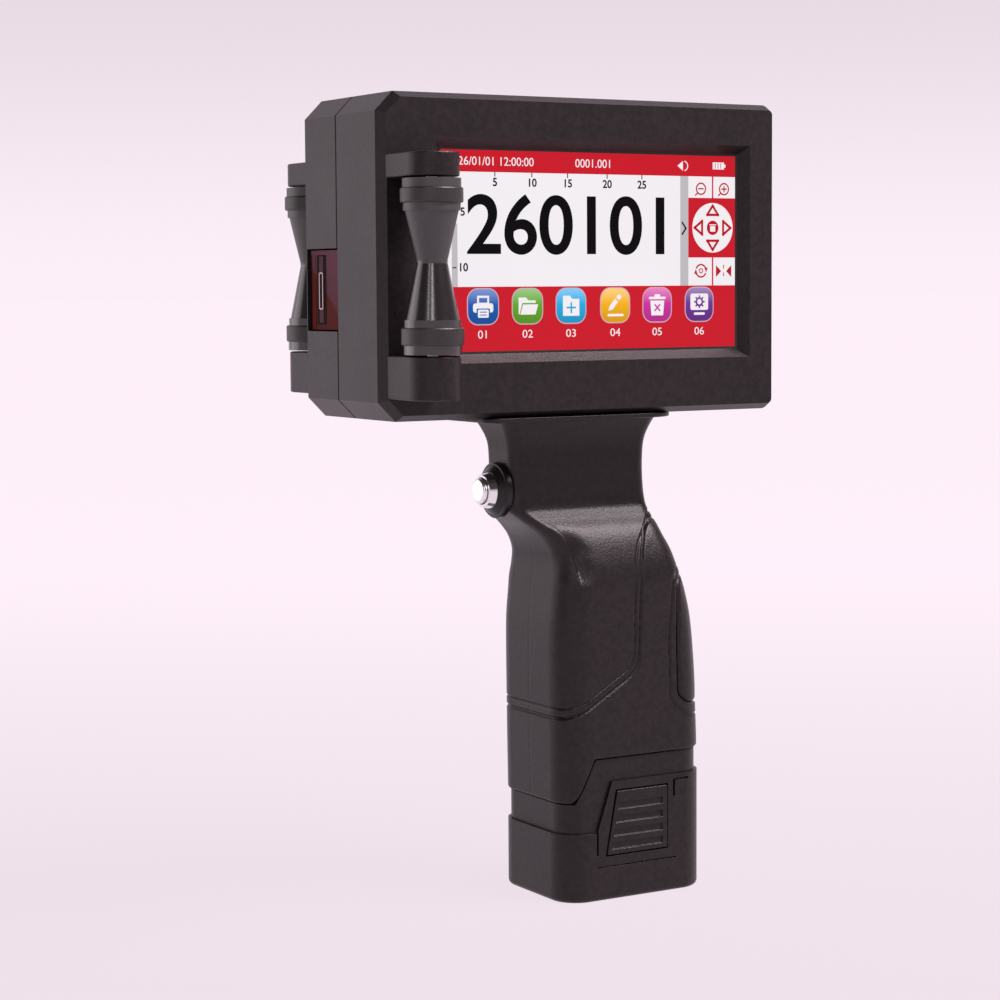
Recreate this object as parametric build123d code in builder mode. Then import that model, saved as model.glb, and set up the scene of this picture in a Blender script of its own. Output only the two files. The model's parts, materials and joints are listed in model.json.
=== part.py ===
"""Handheld date code inkjet printer: a touch-screen print head unit on a pistol grip.

Frame: X across the screen (the print side is -X), Y through the head (the screen side is -Y),
+Z up.  The origin is under the middle of the head, on the face that the battery stands on.
"""
import math
import os
from build123d import *

os.makedirs("parts", exist_ok=True)

# ---- head housing -------------------------------------------------------------------------
head_width = 130.0
head_depth = 46.0
head_height = 88.0
head_bottom = 140.0
head_wall = 2.4
front_shell_depth = 26.2      # from the front face to the seam between the two shells
corner_cut = 5.3              # 45 degree cut on the two print-side corners
corner_radius = 3.0           # round on the two far corners
bevel_inset = 1.7             # front bevel, across the front face
bevel_depth = 3.3             # front bevel, along the sides
seam_chamfer = 0.35
rear_wall = 2.0

# ---- screen -------------------------------------------------------------------------------
active_width = 95.04          # 4.3 inch display
active_height = 53.86
frame_margin = 1.95           # display border seen inside the sloping frame
screen_centre_x = 3.5
screen_centre_z = 185.65
frame_slope = 2.4             # the frame opens out by this much on each side
frame_depth = 3.0
glass_thickness = 1.4
glass_overlap = 3.0
lcd_width = 105.5
lcd_height = 67.2
lcd_thickness = 2.9

# ---- circuit board ------------------------------------------------------------------------
board_thickness = 1.6
board_gap = 3.7               # behind the display
board_print_margin = 12.0      # from the board to the head's outer faces
board_far_margin = 10.0
board_bottom_margin = 6.0
board_top_margin = 4.6
board_post_radius = 1.8
board_post_inset = 2.0
board_screw_radius = 0.8
usb_width = 13.2
usb_height = 7.2
usb_depth = 14.0
usb_z = 164.6
power_z = 200.0
power_y = -7.0
power_radius = 4.5
power_travel = 0.8

# ---- cartridge and its bay ----------------------------------------------------------------
cartridge_length = 66.0
cartridge_width = 72.0
cartridge_thickness = 24.0
cartridge_inset = 13.0        # from the print-side face to the cartridge body
cartridge_lift = 7.0          # from the bottom of the head
cartridge_corner = 9.0
cartridge_travel = 17.0
snout_length = 12.2
snout_gap = 0.4               # clearance of the snout inside the print window
snout_centre_z = 175.4
window_height = 22.8
window_rear_gap = 1.4         # rear shell edge left behind the print window
cradle_wall = 1.6
cradle_gap = 0.6
lid_thickness = 1.6

# ---- cartridge door -----------------------------------------------------------------------
door_print_margin = 17.0      # from the door to the head's outer faces
door_far_margin = 17.0
door_height = 78.0
door_thickness = 2.0
door_gap = 0.35
barrel_radius = 1.9
hinge_pin_radius = 0.8
running_gap = 0.05
knuckle_length = 9.0

# ---- guide rollers ------------------------------------------------------------------------
roller_inset = 8.8            # from the print-side face to the roller axis
roller_stand_off = 11.5       # from the head face to the roller axis
roller_bottom = 158.3
roller_top = 204.4
collar_radius = 8.35
rim_radius = 7.8
cone_radius = 7.1
waist_radius = 4.1
lower_collar_height = 4.7
upper_collar_height = 4.0
rim_height = 2.4
ring_height = 2.0
roller_axle_radius = 1.5
bush_radius = 2.8
bracket_radius = 7.4
upper_bracket_height = 6.4
lower_bracket_height = 11.6
bracket_gap = 0.4
cover_thickness = 1.2
encoder_disc_radius = 5.0

# ---- neck and grip ------------------------------------------------------------------------
flange_left = -32.0
flange_right = 33.0
flange_half_depth = 22.0
flange_thickness = 2.0
neck_left = -16.0
neck_right = 29.5
neck_half_depth = 8.0
neck_corner = 3.5
shoulder_z = 113.0            # where the neck starts to widen into the grip
finger_gap = 0.6              # between the cells' tower and the grip wall, finger side
palm_gap = 3.2                # the same on the palm side, where the grip leans in
latch_room = 7.95             # from the cells' tower to the flank, for the release buttons
grip_corner = 8.5
grip_wall = 2.2
groove_width = 1.8
groove_depth = 0.8
pad_depth = 1.2
pad_reach = 10.6              # the palm pad covers this much of each flank

# ---- trigger ------------------------------------------------------------------------------
trigger_z = 118.3
trigger_flange_radius = 8.0
trigger_barrel_radius = 4.6
trigger_bore = 3.9
trigger_ring_radius = 5.2
trigger_button_radius = 3.6
trigger_reach = 7.0           # from the neck to the button face
trigger_travel = 2.0
trigger_flange_thickness = 1.8
trigger_boss_length = 1.6
nut_thickness = 2.4
nut_collar = 0.6
nut_rim = 0.7                 # the nut is wider than its thread by this much across the flats

# ---- battery pack -------------------------------------------------------------------------
battery_low_edge = 20.0       # top edge of the outer case, finger side
battery_high_edge = 34.5      # top edge of the outer case, palm side
handle_low_edge = 29.0
handle_high_edge = 41.5
battery_step_x = 5.0
battery_step_run = 5.0
handle_step_x = -1.2
handle_step_run = 6.2
band_inset = 0.9
deck_thickness = 1.5
parting_gap = 0.5
battery_wall = 2.0
cell_radius = 9.25
cell_length = 65.0
cell_bottom = 6.0
cell_gap = 0.3
tower_centre_x = 17.6
tower_wall = 1.5
tower_top = 78.0
partition_gap = 0.7           # between the cells and the partitions of the case
partition_thickness = 1.2
release_left = 8.1
release_right = 28.9
release_lean = 3.5            # the left side of the button leans in by this much at the top
release_bottom = 13.3
release_top = 31.6
release_gap = 0.4
release_travel = 2.5
rib_count = 4
rib_pitch = 3.85
rib_width = 1.9
rib_first = 2.4               # from the bottom of the button to the lowest rib slot
rib_depth = 0.6
plate_depth = 2.4
plate_proud = 0.3
flank_slit_depth = 0.8
latch_stem_z = 22.0
latch_stem_x = 19.0
latch_spring_radius = 3.0

# ---- screws -------------------------------------------------------------------------------
screw_radius = 1.25
screw_head_radius = 2.3
screw_head_height = 1.5

# ---- worked out ---------------------------------------------------------------------------
front_y = -head_depth / 2
rear_y = head_depth / 2
seam_y = front_y + front_shell_depth
head_mid_z = head_bottom + head_height / 2
head_top = head_bottom + head_height
right_x = head_width / 2
left_x = -head_width / 2
roller_x = left_x + roller_inset
roller_axis_y = rear_y + roller_stand_off
cartridge_left = left_x + cartridge_inset
cartridge_bottom = head_bottom + cartridge_lift
door_left = left_x + door_print_margin
door_axis_x = right_x - door_far_margin
board_left = left_x + board_print_margin
board_right = right_x - board_far_margin
board_bottom = head_bottom + board_bottom_margin
board_top = head_top - board_top_margin
opening_width = active_width + 2 * frame_margin
opening_height = active_height + 2 * frame_margin / 2
glass_front_y = front_y + frame_depth
lcd_front_y = glass_front_y + glass_thickness
board_front_y = lcd_front_y + lcd_thickness + board_gap
board_rear_y = board_front_y + board_thickness
door_inner_y = rear_y - door_thickness
cartridge_rear_y = door_inner_y - 0.3
cartridge_front_y = cartridge_rear_y - cartridge_thickness
cartridge_right = cartridge_left + cartridge_length
cartridge_top = cartridge_bottom + cartridge_width
snout_left = cartridge_left - snout_length
snout_front_y = seam_y + snout_gap
snout_width = window_height - 2 * snout_gap
window_rear_y = rear_y - window_rear_gap
window_bottom = snout_centre_z - window_height / 2
window_top = snout_centre_z + window_height / 2
bay_right = cartridge_right + cartridge_travel + cradle_gap
door_bottom = head_mid_z - door_height / 2
door_top = head_mid_z + door_height / 2
door_axis_y = rear_y - barrel_radius
roller_span = roller_top - roller_bottom
upper_bracket_bottom = roller_top + bracket_gap
upper_bracket_top = upper_bracket_bottom + upper_bracket_height
lower_bracket_top = roller_bottom - bracket_gap
lower_bracket_bottom = lower_bracket_top - lower_bracket_height
flange_bottom = head_bottom - flange_thickness
cell_top = cell_bottom + cell_length
tower_length = 4 * cell_radius + 4 * cell_gap + 2 * tower_wall
tower_depth = 2 * (cell_radius + cell_gap + tower_wall)
grip_left = tower_centre_x - tower_length / 2 - finger_gap - grip_wall
grip_right = tower_centre_x + tower_length / 2 + palm_gap + grip_wall
grip_half_depth = tower_depth / 2 + latch_room
battery_centre_x = (grip_left + grip_right) / 2
deck_top = handle_low_edge - 0.2
deck_bottom = deck_top - deck_thickness
trigger_face_x = neck_left - trigger_reach
nut_face_x = neck_left + grip_wall
nut_corner_radius = (trigger_barrel_radius + nut_rim) / math.cos(math.radians(30))
plate_front = grip_half_depth + plate_proud
plate_back = plate_front - plate_depth


# ---- helpers ------------------------------------------------------------------------------
def plane_y(y):
    """Sketch plane facing the operator at the given Y; its own axes are X and Z."""
    return Plane.XZ.offset(-y)


def block(x, y, z, mode=Mode.ADD):
    """Add or cut a box between three pairs of limits."""
    middle = (sum(x) / 2, sum(y) / 2, sum(z) / 2)
    with Locations(middle):
        Box(x[1] - x[0], y[1] - y[0], z[1] - z[0], mode=mode)


def rod(start, direction, radius, length, mode=Mode.ADD):
    """Add or cut a cylinder that starts at a point and runs along a direction."""
    with Locations(Plane(origin=start, z_dir=direction).location):
        Cylinder(radius, length, align=(Align.CENTER, Align.CENTER, Align.MIN), mode=mode)


def screw(tip, direction, length):
    """A pan head screw: the shank starts at its tip and the head ends it."""
    rod(tip, direction, screw_radius, length)
    seat = Vector(tip) + Vector(direction) * length
    rod(seat, direction, screw_head_radius, screw_head_height)


def coil(start, direction, radius, wire_radius, length, turns):
    """A helical compression spring between two planes."""
    rise = length - 2 * wire_radius
    base = Vector(start) + Vector(direction) * wire_radius
    with BuildPart() as spring:
        with BuildLine() as path:
            Helix(pitch=rise / turns, height=rise, radius=radius - wire_radius,
                  center=base, direction=direction)
        with BuildSketch(Plane(origin=path.line @ 0, z_dir=path.line % 0)):
            Circle(wire_radius)
        sweep(is_frenet=True)
    return spring


def save(builder, label):
    """Name a finished piece and write it."""
    builder.part.label = label
    export_step(builder.part, f"parts/{label}.step")


def head_outline(y, inset):
    """Outline of the head at a depth, moved inwards by the inset."""
    with BuildSketch(plane_y(y)) as outline:
        with Locations((0, head_mid_z)):
            Rectangle(head_width - 2 * inset, head_height - 2 * inset)
        cut_leg = corner_cut - inset * (2 - math.sqrt(2))
        chamfer(outline.vertices().group_by(Axis.X)[0], length=max(cut_leg, 0.5))
        fillet(outline.vertices().group_by(Axis.X)[-1], radius=max(corner_radius - inset, 0.5))
    return outline.sketch


# ---- front shell --------------------------------------------------------------------------
head_screw_sites = [
    (right_x - 6.0, head_bottom + 6.5),
    (right_x - 6.0, head_top - 6.5),
    (left_x + 7.5, head_top - 12.0),
]
head_boss_radius = 2.9
board_post_sites = [
    (x, z)
    for x in (board_left + board_post_inset, board_right - 15.0)
    for z in (board_bottom + board_post_inset, board_top - board_post_inset)
]
neck_screw_sites = [(x, y) for x in (-26.0, 20.0) for y in (-17.0, 17.0)]
bracket_heights = {
    "upper": (upper_bracket_bottom, upper_bracket_top),
    "lower": (lower_bracket_bottom, lower_bracket_top),
}


def neck_screw_holes(sign):
    """Holes through the head floor for the neck screws on one side of the seam."""
    for x, y in neck_screw_sites:
        if y * sign > 0:
            rod((x, y, head_bottom), (0, 0, 1), screw_radius, head_wall, mode=Mode.SUBTRACT)


def bracket_screw_holes(y, direction):
    """Holes through a head face for the screws that hold the roller brackets."""
    for low, high in bracket_heights.values():
        start = (roller_x, y, (low + high) / 2)
        rod(start, direction, screw_radius, 2 * head_wall, mode=Mode.SUBTRACT)


with BuildPart() as front_shell:
    extrude(head_outline(seam_y, 0), amount=front_shell_depth)
    front_face = front_shell.faces().sort_by(Axis.Y)[0]
    chamfer(front_face.edges(), length=bevel_inset, length2=bevel_depth, reference=front_face)
    seam_face = front_shell.faces().sort_by(Axis.Y)[-1]
    chamfer(seam_face.edges(), length=seam_chamfer)
    extrude(head_outline(seam_y, head_wall), amount=front_shell_depth - frame_depth, mode=Mode.SUBTRACT)
    with BuildSketch(plane_y(front_y)):
        with Locations((screen_centre_x, screen_centre_z)):
            Rectangle(opening_width + 2 * frame_slope, opening_height + 2 * frame_slope)
    with BuildSketch(plane_y(glass_front_y)):
        with Locations((screen_centre_x, screen_centre_z)):
            Rectangle(opening_width, opening_height)
    loft(mode=Mode.SUBTRACT)
    for x, z in head_screw_sites:
        rod((x, glass_front_y, z), (0, 1, 0), head_boss_radius, seam_y - glass_front_y)
        rod((x, seam_y - 12.0, z), (0, 1, 0), screw_radius, 12.0, mode=Mode.SUBTRACT)
    for x, z in board_post_sites:
        rod((x, glass_front_y, z), (0, 1, 0), board_post_radius, board_front_y - glass_front_y)
        rod((x, board_front_y - 5.0, z), (0, 1, 0), board_screw_radius, 5.0, mode=Mode.SUBTRACT)
    usb_front_y = board_rear_y
    usb_rear_y = board_rear_y + usb_height
    usb_clear = 0.25
    block((right_x - 2 * head_wall, right_x + 1),
          (usb_front_y - usb_clear, usb_rear_y + usb_clear),
          (usb_z - usb_width / 2 - usb_clear, usb_z + usb_width / 2 + usb_clear),
          mode=Mode.SUBTRACT)
    rod((right_x - 2 * head_wall, power_y, power_z), (1, 0, 0), power_radius + 0.3,
        3 * head_wall, mode=Mode.SUBTRACT)
    neck_screw_holes(-1)
    bracket_screw_holes(glass_front_y + 1, (0, -1, 0))
save(front_shell, "front_shell")

# ---- rear shell ---------------------------------------------------------------------------
barrel_pocket = barrel_radius + 0.4
middle_knuckle_length = 2 * knuckle_length
rear_edge_chamfer = 1.0

with BuildPart() as rear_shell:
    extrude(head_outline(rear_y, 0), amount=rear_y - seam_y)
    rear_face = rear_shell.faces().sort_by(Axis.Y)[-1]
    chamfer(rear_face.edges(), length=rear_edge_chamfer)
    mating_face = rear_shell.faces().sort_by(Axis.Y)[0]
    chamfer(mating_face.edges(), length=seam_chamfer)
    extrude(head_outline(rear_y - rear_wall, head_wall), amount=rear_y - rear_wall - seam_y,
            mode=Mode.SUBTRACT)
    # print window, open towards the seam
    block((left_x - 1, left_x + 2 * head_wall), (seam_y - 1, window_rear_y),
          (window_bottom, window_top), mode=Mode.SUBTRACT)
    # bay mouth and the pocket that the hinge barrels turn in
    block((door_left - door_gap, door_axis_x + barrel_pocket),
          (door_inner_y - 0.1, rear_y + 1),
          (door_bottom - door_gap, door_top + door_gap), mode=Mode.SUBTRACT)
    block((door_axis_x - barrel_pocket, door_axis_x + barrel_pocket),
          (door_axis_y - barrel_pocket, rear_y + 1),
          (door_bottom - door_gap, door_top + door_gap), mode=Mode.SUBTRACT)
    # fixed knuckle in the middle of the hinge, on a wall behind the barrel
    block((door_axis_x - barrel_radius, door_axis_x + head_wall + barrel_pocket),
          (door_axis_y - barrel_pocket - 1.5, door_axis_y - barrel_pocket),
          (door_bottom - 3, door_top + 3))
    block((door_axis_x + barrel_pocket, door_axis_x + barrel_pocket + 2),
          (door_axis_y - barrel_pocket - 1.5, rear_y - rear_edge_chamfer),
          (door_bottom - 3, door_top + 3))
    rod((door_axis_x, door_axis_y, head_mid_z - middle_knuckle_length / 2), (0, 0, 1),
        barrel_radius, middle_knuckle_length)
    block((door_axis_x - barrel_radius, door_axis_x + barrel_radius),
          (door_axis_y - barrel_pocket - 0.5, door_axis_y),
          (head_mid_z - middle_knuckle_length / 2, head_mid_z + middle_knuckle_length / 2))
    rod((door_axis_x, door_axis_y, door_bottom - 3), (0, 0, 1), hinge_pin_radius,
        door_height + 6, mode=Mode.SUBTRACT)
    # lead the bay mouth through the rear wall beside the hinge strip
    block((door_left + 1.0, bay_right + 1.0), (door_inner_y - 1, rear_y),
          (door_bottom + 1.0, door_top - 1.0), mode=Mode.SUBTRACT)
    for x, z in head_screw_sites:
        rod((x, seam_y, z), (0, 1, 0), head_boss_radius, rear_y - rear_wall - seam_y)
        rod((x, seam_y, z), (0, 1, 0), screw_radius + 0.15, rear_y, mode=Mode.SUBTRACT)
        rod((x, rear_y - screw_head_height - 0.3, z), (0, 1, 0), screw_head_radius + 0.3, 3,
            mode=Mode.SUBTRACT)
    neck_screw_holes(1)
    bracket_screw_holes(rear_y - rear_wall - 1, (0, 1, 0))
save(rear_shell, "rear_shell")

# ---- screen -------------------------------------------------------------------------------
with BuildPart() as screen_glass:
    block((screen_centre_x - opening_width / 2 - glass_overlap,
           screen_centre_x + opening_width / 2 + glass_overlap),
          (glass_front_y, lcd_front_y),
          (screen_centre_z - opening_height / 2 - glass_overlap,
           screen_centre_z + opening_height / 2 + glass_overlap))
save(screen_glass, "screen_glass")

with BuildPart() as lcd_panel:
    block((screen_centre_x - lcd_width / 2, screen_centre_x + lcd_width / 2),
          (lcd_front_y, lcd_front_y + lcd_thickness),
          (screen_centre_z - lcd_height / 2, screen_centre_z + lcd_height / 2))
save(lcd_panel, "lcd_panel")

# ---- main board and what it carries -------------------------------------------------------
with BuildPart() as main_board:
    block((board_left, board_right), (board_front_y, board_rear_y), (board_bottom, board_top))
    fillet(main_board.edges().filter_by(Axis.Y), radius=1.5)
    for x, z in board_post_sites:
        rod((x, board_front_y, z), (0, 1, 0), 0.9, board_thickness, mode=Mode.SUBTRACT)
save(main_board, "main_board")

chips = [
    # centre x, centre z, width, height, thickness
    (10.0, 186.0, 14.0, 14.0, 1.4),
    (30.0, 192.0, 11.0, 9.0, 1.2),
    (30.0, 178.0, 8.0, 8.0, 1.2),
    (-18.0, 206.0, 12.0, 7.0, 1.6),
    (-38.0, 186.0, 5.0, 24.0, 3.0),
    (6.0, 152.0, 18.0, 5.0, 3.4),
    (38.0, 210.0, 10.0, 10.0, 3.8),
]
with BuildPart() as board_chips:
    for x, z, width, height, thickness in chips:
        block((x - width / 2, x + width / 2), (board_rear_y, board_rear_y + thickness),
              (z - height / 2, z + height / 2))
save(board_chips, "board_chips")

with BuildPart() as usb_socket:
    usb_x = (right_x - 0.2 - usb_depth, right_x - 0.2)
    usb_z_limits = (usb_z - usb_width / 2, usb_z + usb_width / 2)
    block(usb_x, (usb_front_y, usb_rear_y), usb_z_limits)
    block((usb_x[0] + 2, usb_x[1] + 1), (usb_front_y + 0.5, usb_rear_y - 0.5),
          (usb_z_limits[0] + 0.5, usb_z_limits[1] - 0.5), mode=Mode.SUBTRACT)
    block((usb_x[0] + 1.5, usb_x[1] - 1), (usb_front_y + 3.9, usb_front_y + 5.5),
          (usb_z_limits[0] + 1, usb_z_limits[1] - 1))
save(usb_socket, "usb_socket")

power_face_x = right_x - 0.2
power_stem_end = right_x - 5.6
with BuildPart() as power_button:
    rod((power_face_x, power_y, power_z), (-1, 0, 0), power_radius, head_wall + 0.6)
    fillet(power_button.edges().sort_by(Axis.X)[-1], radius=0.5)
    rod((power_face_x - head_wall - 0.6, power_y, power_z), (-1, 0, 0), power_radius + 1.2, 0.8)
    rod((power_stem_end, power_y, power_z), (1, 0, 0), 1.6, power_face_x - head_wall - power_stem_end)
save(power_button, "power_button")

with BuildPart() as power_switch:
    switch_nose = power_stem_end - power_travel - 0.1
    block((switch_nose - 6.5, switch_nose - 1.8), (board_rear_y, power_y + 3.0),
          (power_z - 3.0, power_z + 3.0))
    rod((switch_nose - 1.8, power_y, power_z), (1, 0, 0), 1.6, 1.8)
save(power_switch, "power_switch")

# ---- cartridge bay ------------------------------------------------------------------------
cradle_left = cartridge_left - 0.6
cradle_front_y = cartridge_front_y - cradle_gap - cradle_wall
with BuildPart() as cartridge_cradle:
    block((cradle_left, bay_right + cradle_wall), (cradle_front_y, door_inner_y - 0.4),
          (cartridge_bottom - cradle_gap - cradle_wall, cartridge_top + cradle_gap + cradle_wall))
    block((cradle_left - 1, bay_right), (cradle_front_y + cradle_wall, rear_y),
          (cartridge_bottom - cradle_gap, cartridge_top + cradle_gap), mode=Mode.SUBTRACT)
save(cartridge_cradle, "cartridge_cradle")

contact_left = left_x + head_wall + 0.8 * corner_cut
contact_right = cradle_left - 0.6
contact_board_top = snout_centre_z - snout_width / 2 - 6.4
pin_top = snout_centre_z - snout_width / 2 - 0.25
with BuildPart() as contact_block:
    block((contact_left, contact_right), (seam_y + 0.4, cartridge_rear_y - 3.5),
          (head_bottom + head_wall, contact_board_top - board_thickness))
save(contact_block, "contact_block")

with BuildPart() as contact_board:
    block((contact_left, contact_right), (seam_y + 0.4, cartridge_rear_y - 3.5),
          (contact_board_top - board_thickness, contact_board_top))
save(contact_board, "contact_board")

with BuildPart() as contact_pins:
    pin_middle = ((contact_left + contact_right) / 2, (seam_y + cartridge_rear_y - 3.1) / 2)
    with Locations((pin_middle[0], pin_middle[1], contact_board_top)):
        with GridLocations(2.4, 2.3, 2, 5):
            Cylinder(0.5, pin_top - contact_board_top,
                     align=(Align.CENTER, Align.CENTER, Align.MIN))
save(contact_pins, "contact_pins")

# ---- cartridge ----------------------------------------------------------------------------
with BuildPart() as cartridge_body:
    with BuildSketch(plane_y(cartridge_rear_y - lid_thickness)) as shell_outline:
        with Locations(((cartridge_left + cartridge_right) / 2,
                        (cartridge_bottom + cartridge_top) / 2)):
            RectangleRounded(cartridge_length, cartridge_width, cartridge_corner)
    extrude(amount=cartridge_thickness - lid_thickness)
    fillet(cartridge_body.faces().sort_by(Axis.Y)[0].edges(), radius=1.2)
    # snout that carries the print plate
    block((snout_left + 0.4, cartridge_left + cartridge_corner),
          (snout_front_y, cartridge_rear_y - lid_thickness),
          (snout_centre_z - snout_width / 2, snout_centre_z + snout_width / 2))
    block((snout_left + 0.4, cartridge_left - 0.2), (snout_front_y, cartridge_rear_y),
          (snout_centre_z - snout_width / 2, snout_centre_z + snout_width / 2))
    # ink space
    with BuildSketch(plane_y(cartridge_rear_y - lid_thickness)):
        with Locations(((cartridge_left + cartridge_right) / 2,
                        (cartridge_bottom + cartridge_top) / 2)):
            RectangleRounded(cartridge_length - 4, cartridge_width - 4, cartridge_corner - 2)
    extrude(amount=cartridge_thickness - lid_thickness - 2, mode=Mode.SUBTRACT)
save(cartridge_body, "cartridge_body")

with BuildPart() as ink_foam:
    with BuildSketch(plane_y(cartridge_rear_y - lid_thickness - 1)):
        with Locations(((cartridge_left + cartridge_right) / 2,
                        (cartridge_bottom + cartridge_top) / 2)):
            RectangleRounded(cartridge_length - 5, cartridge_width - 5, cartridge_corner - 2.5)
    extrude(amount=cartridge_thickness - lid_thickness - 4)
save(ink_foam, "ink_foam")

with BuildPart() as cartridge_lid:
    with BuildSketch(plane_y(cartridge_rear_y)):
        with Locations(((cartridge_left + cartridge_right) / 2,
                        (cartridge_bottom + cartridge_top) / 2)):
            RectangleRounded(cartridge_length, cartridge_width, cartridge_corner)
    extrude(amount=lid_thickness)
    fillet(cartridge_lid.faces().sort_by(Axis.Y)[-1].edges(), radius=0.8)
save(cartridge_lid, "cartridge_lid")

flex_thickness = 0.25
with BuildPart() as cartridge_flex:
    block((snout_left + 0.4 - flex_thickness, snout_left + 0.4),
          (snout_front_y, cartridge_rear_y),
          (snout_centre_z - snout_width / 2, snout_centre_z + snout_width / 2))
save(cartridge_flex, "cartridge_flex")

strip_y = cartridge_rear_y - 6.2
strip_half_width = 1.5
with BuildPart() as nozzle_strip:
    block((snout_left, snout_left + 0.4 - flex_thickness),
          (strip_y - strip_half_width, strip_y + strip_half_width),
          (snout_centre_z - 8.0, snout_centre_z + 8.0))
save(nozzle_strip, "nozzle_strip")

# ---- cartridge door -----------------------------------------------------------------------
door_knuckle_gap = 0.3
with BuildPart() as cartridge_door:
    block((door_left, door_axis_x), (door_inner_y, rear_y), (door_bottom, door_top))
    left_corners = cartridge_door.edges().filter_by(Axis.Y).group_by(Axis.X)[0]
    fillet(left_corners, radius=2.0)
    rod((door_axis_x, door_axis_y, door_bottom), (0, 0, 1), barrel_radius, door_height)
    # cut clear of the fixed knuckle, then bore for the pin
    relief = middle_knuckle_length / 2 + door_knuckle_gap
    block((door_axis_x - barrel_pocket, door_axis_x + barrel_pocket),
          (door_axis_y - barrel_pocket, rear_y + 1),
          (head_mid_z - relief, head_mid_z + relief), mode=Mode.SUBTRACT)
    rod((door_axis_x, door_axis_y, door_bottom), (0, 0, 1), hinge_pin_radius + running_gap,
        door_height, mode=Mode.SUBTRACT)
    # finger notch on the free edge
    rod((door_left + 1.0, rear_y + 4.5, head_mid_z - 9), (0, 0, 1), 5.6, 18, mode=Mode.SUBTRACT)
save(cartridge_door, "cartridge_door")

with BuildPart() as door_hinge_pin:
    rod((door_axis_x, door_axis_y, door_bottom - 3), (0, 0, 1), hinge_pin_radius,
        door_height + 6)
save(door_hinge_pin, "door_hinge_pin")

# ---- head fasteners -----------------------------------------------------------------------
with BuildPart() as head_screws:
    for x, z in head_screw_sites:
        length = rear_y - screw_head_height - 0.3 - (seam_y - 11.0)
        screw((x, seam_y - 11.0, z), (0, 1, 0), length)
save(head_screws, "head_screws")

with BuildPart() as board_screws:
    for x, z in board_post_sites:
        rod((x, board_front_y - 4.5, z), (0, 1, 0), board_screw_radius, 4.5 + board_thickness)
        rod((x, board_rear_y, z), (0, 1, 0), 1.6, 1.2)
save(board_screws, "board_screws")

# the neck screws go in from inside the head and end short of the flange's underside
neck_screw_reach = flange_thickness - 0.4
with BuildPart() as neck_screws:
    for x, y in neck_screw_sites:
        screw((x, y, head_bottom - neck_screw_reach), (0, 0, 1), head_wall + neck_screw_reach)
save(neck_screws, "neck_screws")

# ---- roller brackets, one pair on each face of the head -----------------------------------
sides = {"front": -1, "rear": 1}
bracket_flat = roller_x - bracket_radius
bush_length = 3.0
for side, sign in sides.items():
    axis_y = sign * roller_axis_y
    face_y = sign * rear_y
    for level, (low, high) in bracket_heights.items():
        with BuildPart() as bracket:
            rod((roller_x, axis_y, low), (0, 0, 1), bracket_radius, high - low)
            block((bracket_flat, roller_x + bracket_radius), sorted((face_y, axis_y)), (low, high))
            outer_edges = bracket.faces().sort_by(Axis.Z)[0].edges()
            outer_edges += bracket.faces().sort_by(Axis.Z)[-1].edges()
            rim_edges = [edge for edge in outer_edges if abs(edge.center().Y - face_y) > 1]
            fillet(rim_edges, radius=0.5)
            rod((roller_x, axis_y, high - bush_length if level == "lower" else low), (0, 0, 1),
                bush_radius, bush_length, mode=Mode.SUBTRACT)
            if level == "lower":
                rod((roller_x, axis_y, low), (0, 0, 1), encoder_disc_radius + 0.8,
                    high - bush_length - low, mode=Mode.SUBTRACT)
            rod((roller_x, face_y, (low + high) / 2), (0, sign, 0), screw_radius, 4.0,
                mode=Mode.SUBTRACT)
        save(bracket, f"{side}_{level}_bracket")

with BuildPart() as roller_bushes:
    for sign in sides.values():
        axis_y = sign * roller_axis_y
        for start in (lower_bracket_top - bush_length, upper_bracket_bottom):
            rod((roller_x, axis_y, start), (0, 0, 1), bush_radius, bush_length)
            rod((roller_x, axis_y, start), (0, 0, 1), roller_axle_radius + running_gap,
                bush_length, mode=Mode.SUBTRACT)
save(roller_bushes, "roller_bushes")

with BuildPart() as bracket_screws:
    for sign in sides.values():
        wall = frame_depth if sign < 0 else rear_wall
        for low, high in bracket_heights.values():
            tip = (roller_x, sign * (rear_y + 3.6), (low + high) / 2)
            screw(tip, (0, -sign, 0), wall + 3.6)
save(bracket_screws, "bracket_screws")

with BuildPart() as bracket_covers:
    for sign in sides.values():
        axis_y = sign * roller_axis_y
        rod((roller_x, axis_y, lower_bracket_bottom + 0.1), (0, 0, 1),
            encoder_disc_radius + 0.8, cover_thickness)
save(bracket_covers, "bracket_covers")

encoder_z = lower_bracket_bottom + 5.0
with BuildPart() as encoder_sensor:
    sensor_y = -roller_axis_y
    sensor_floor = lower_bracket_bottom + 0.1 + cover_thickness
    block((roller_x - 2.2, roller_x + 2.2), (sensor_y + 1.8, sensor_y + 4.8),
          (sensor_floor, encoder_z - 0.5))
save(encoder_sensor, "encoder_sensor")

# ---- guide rollers ------------------------------------------------------------------------
waist_z = (roller_bottom + roller_top) / 2 + 1.3


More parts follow.
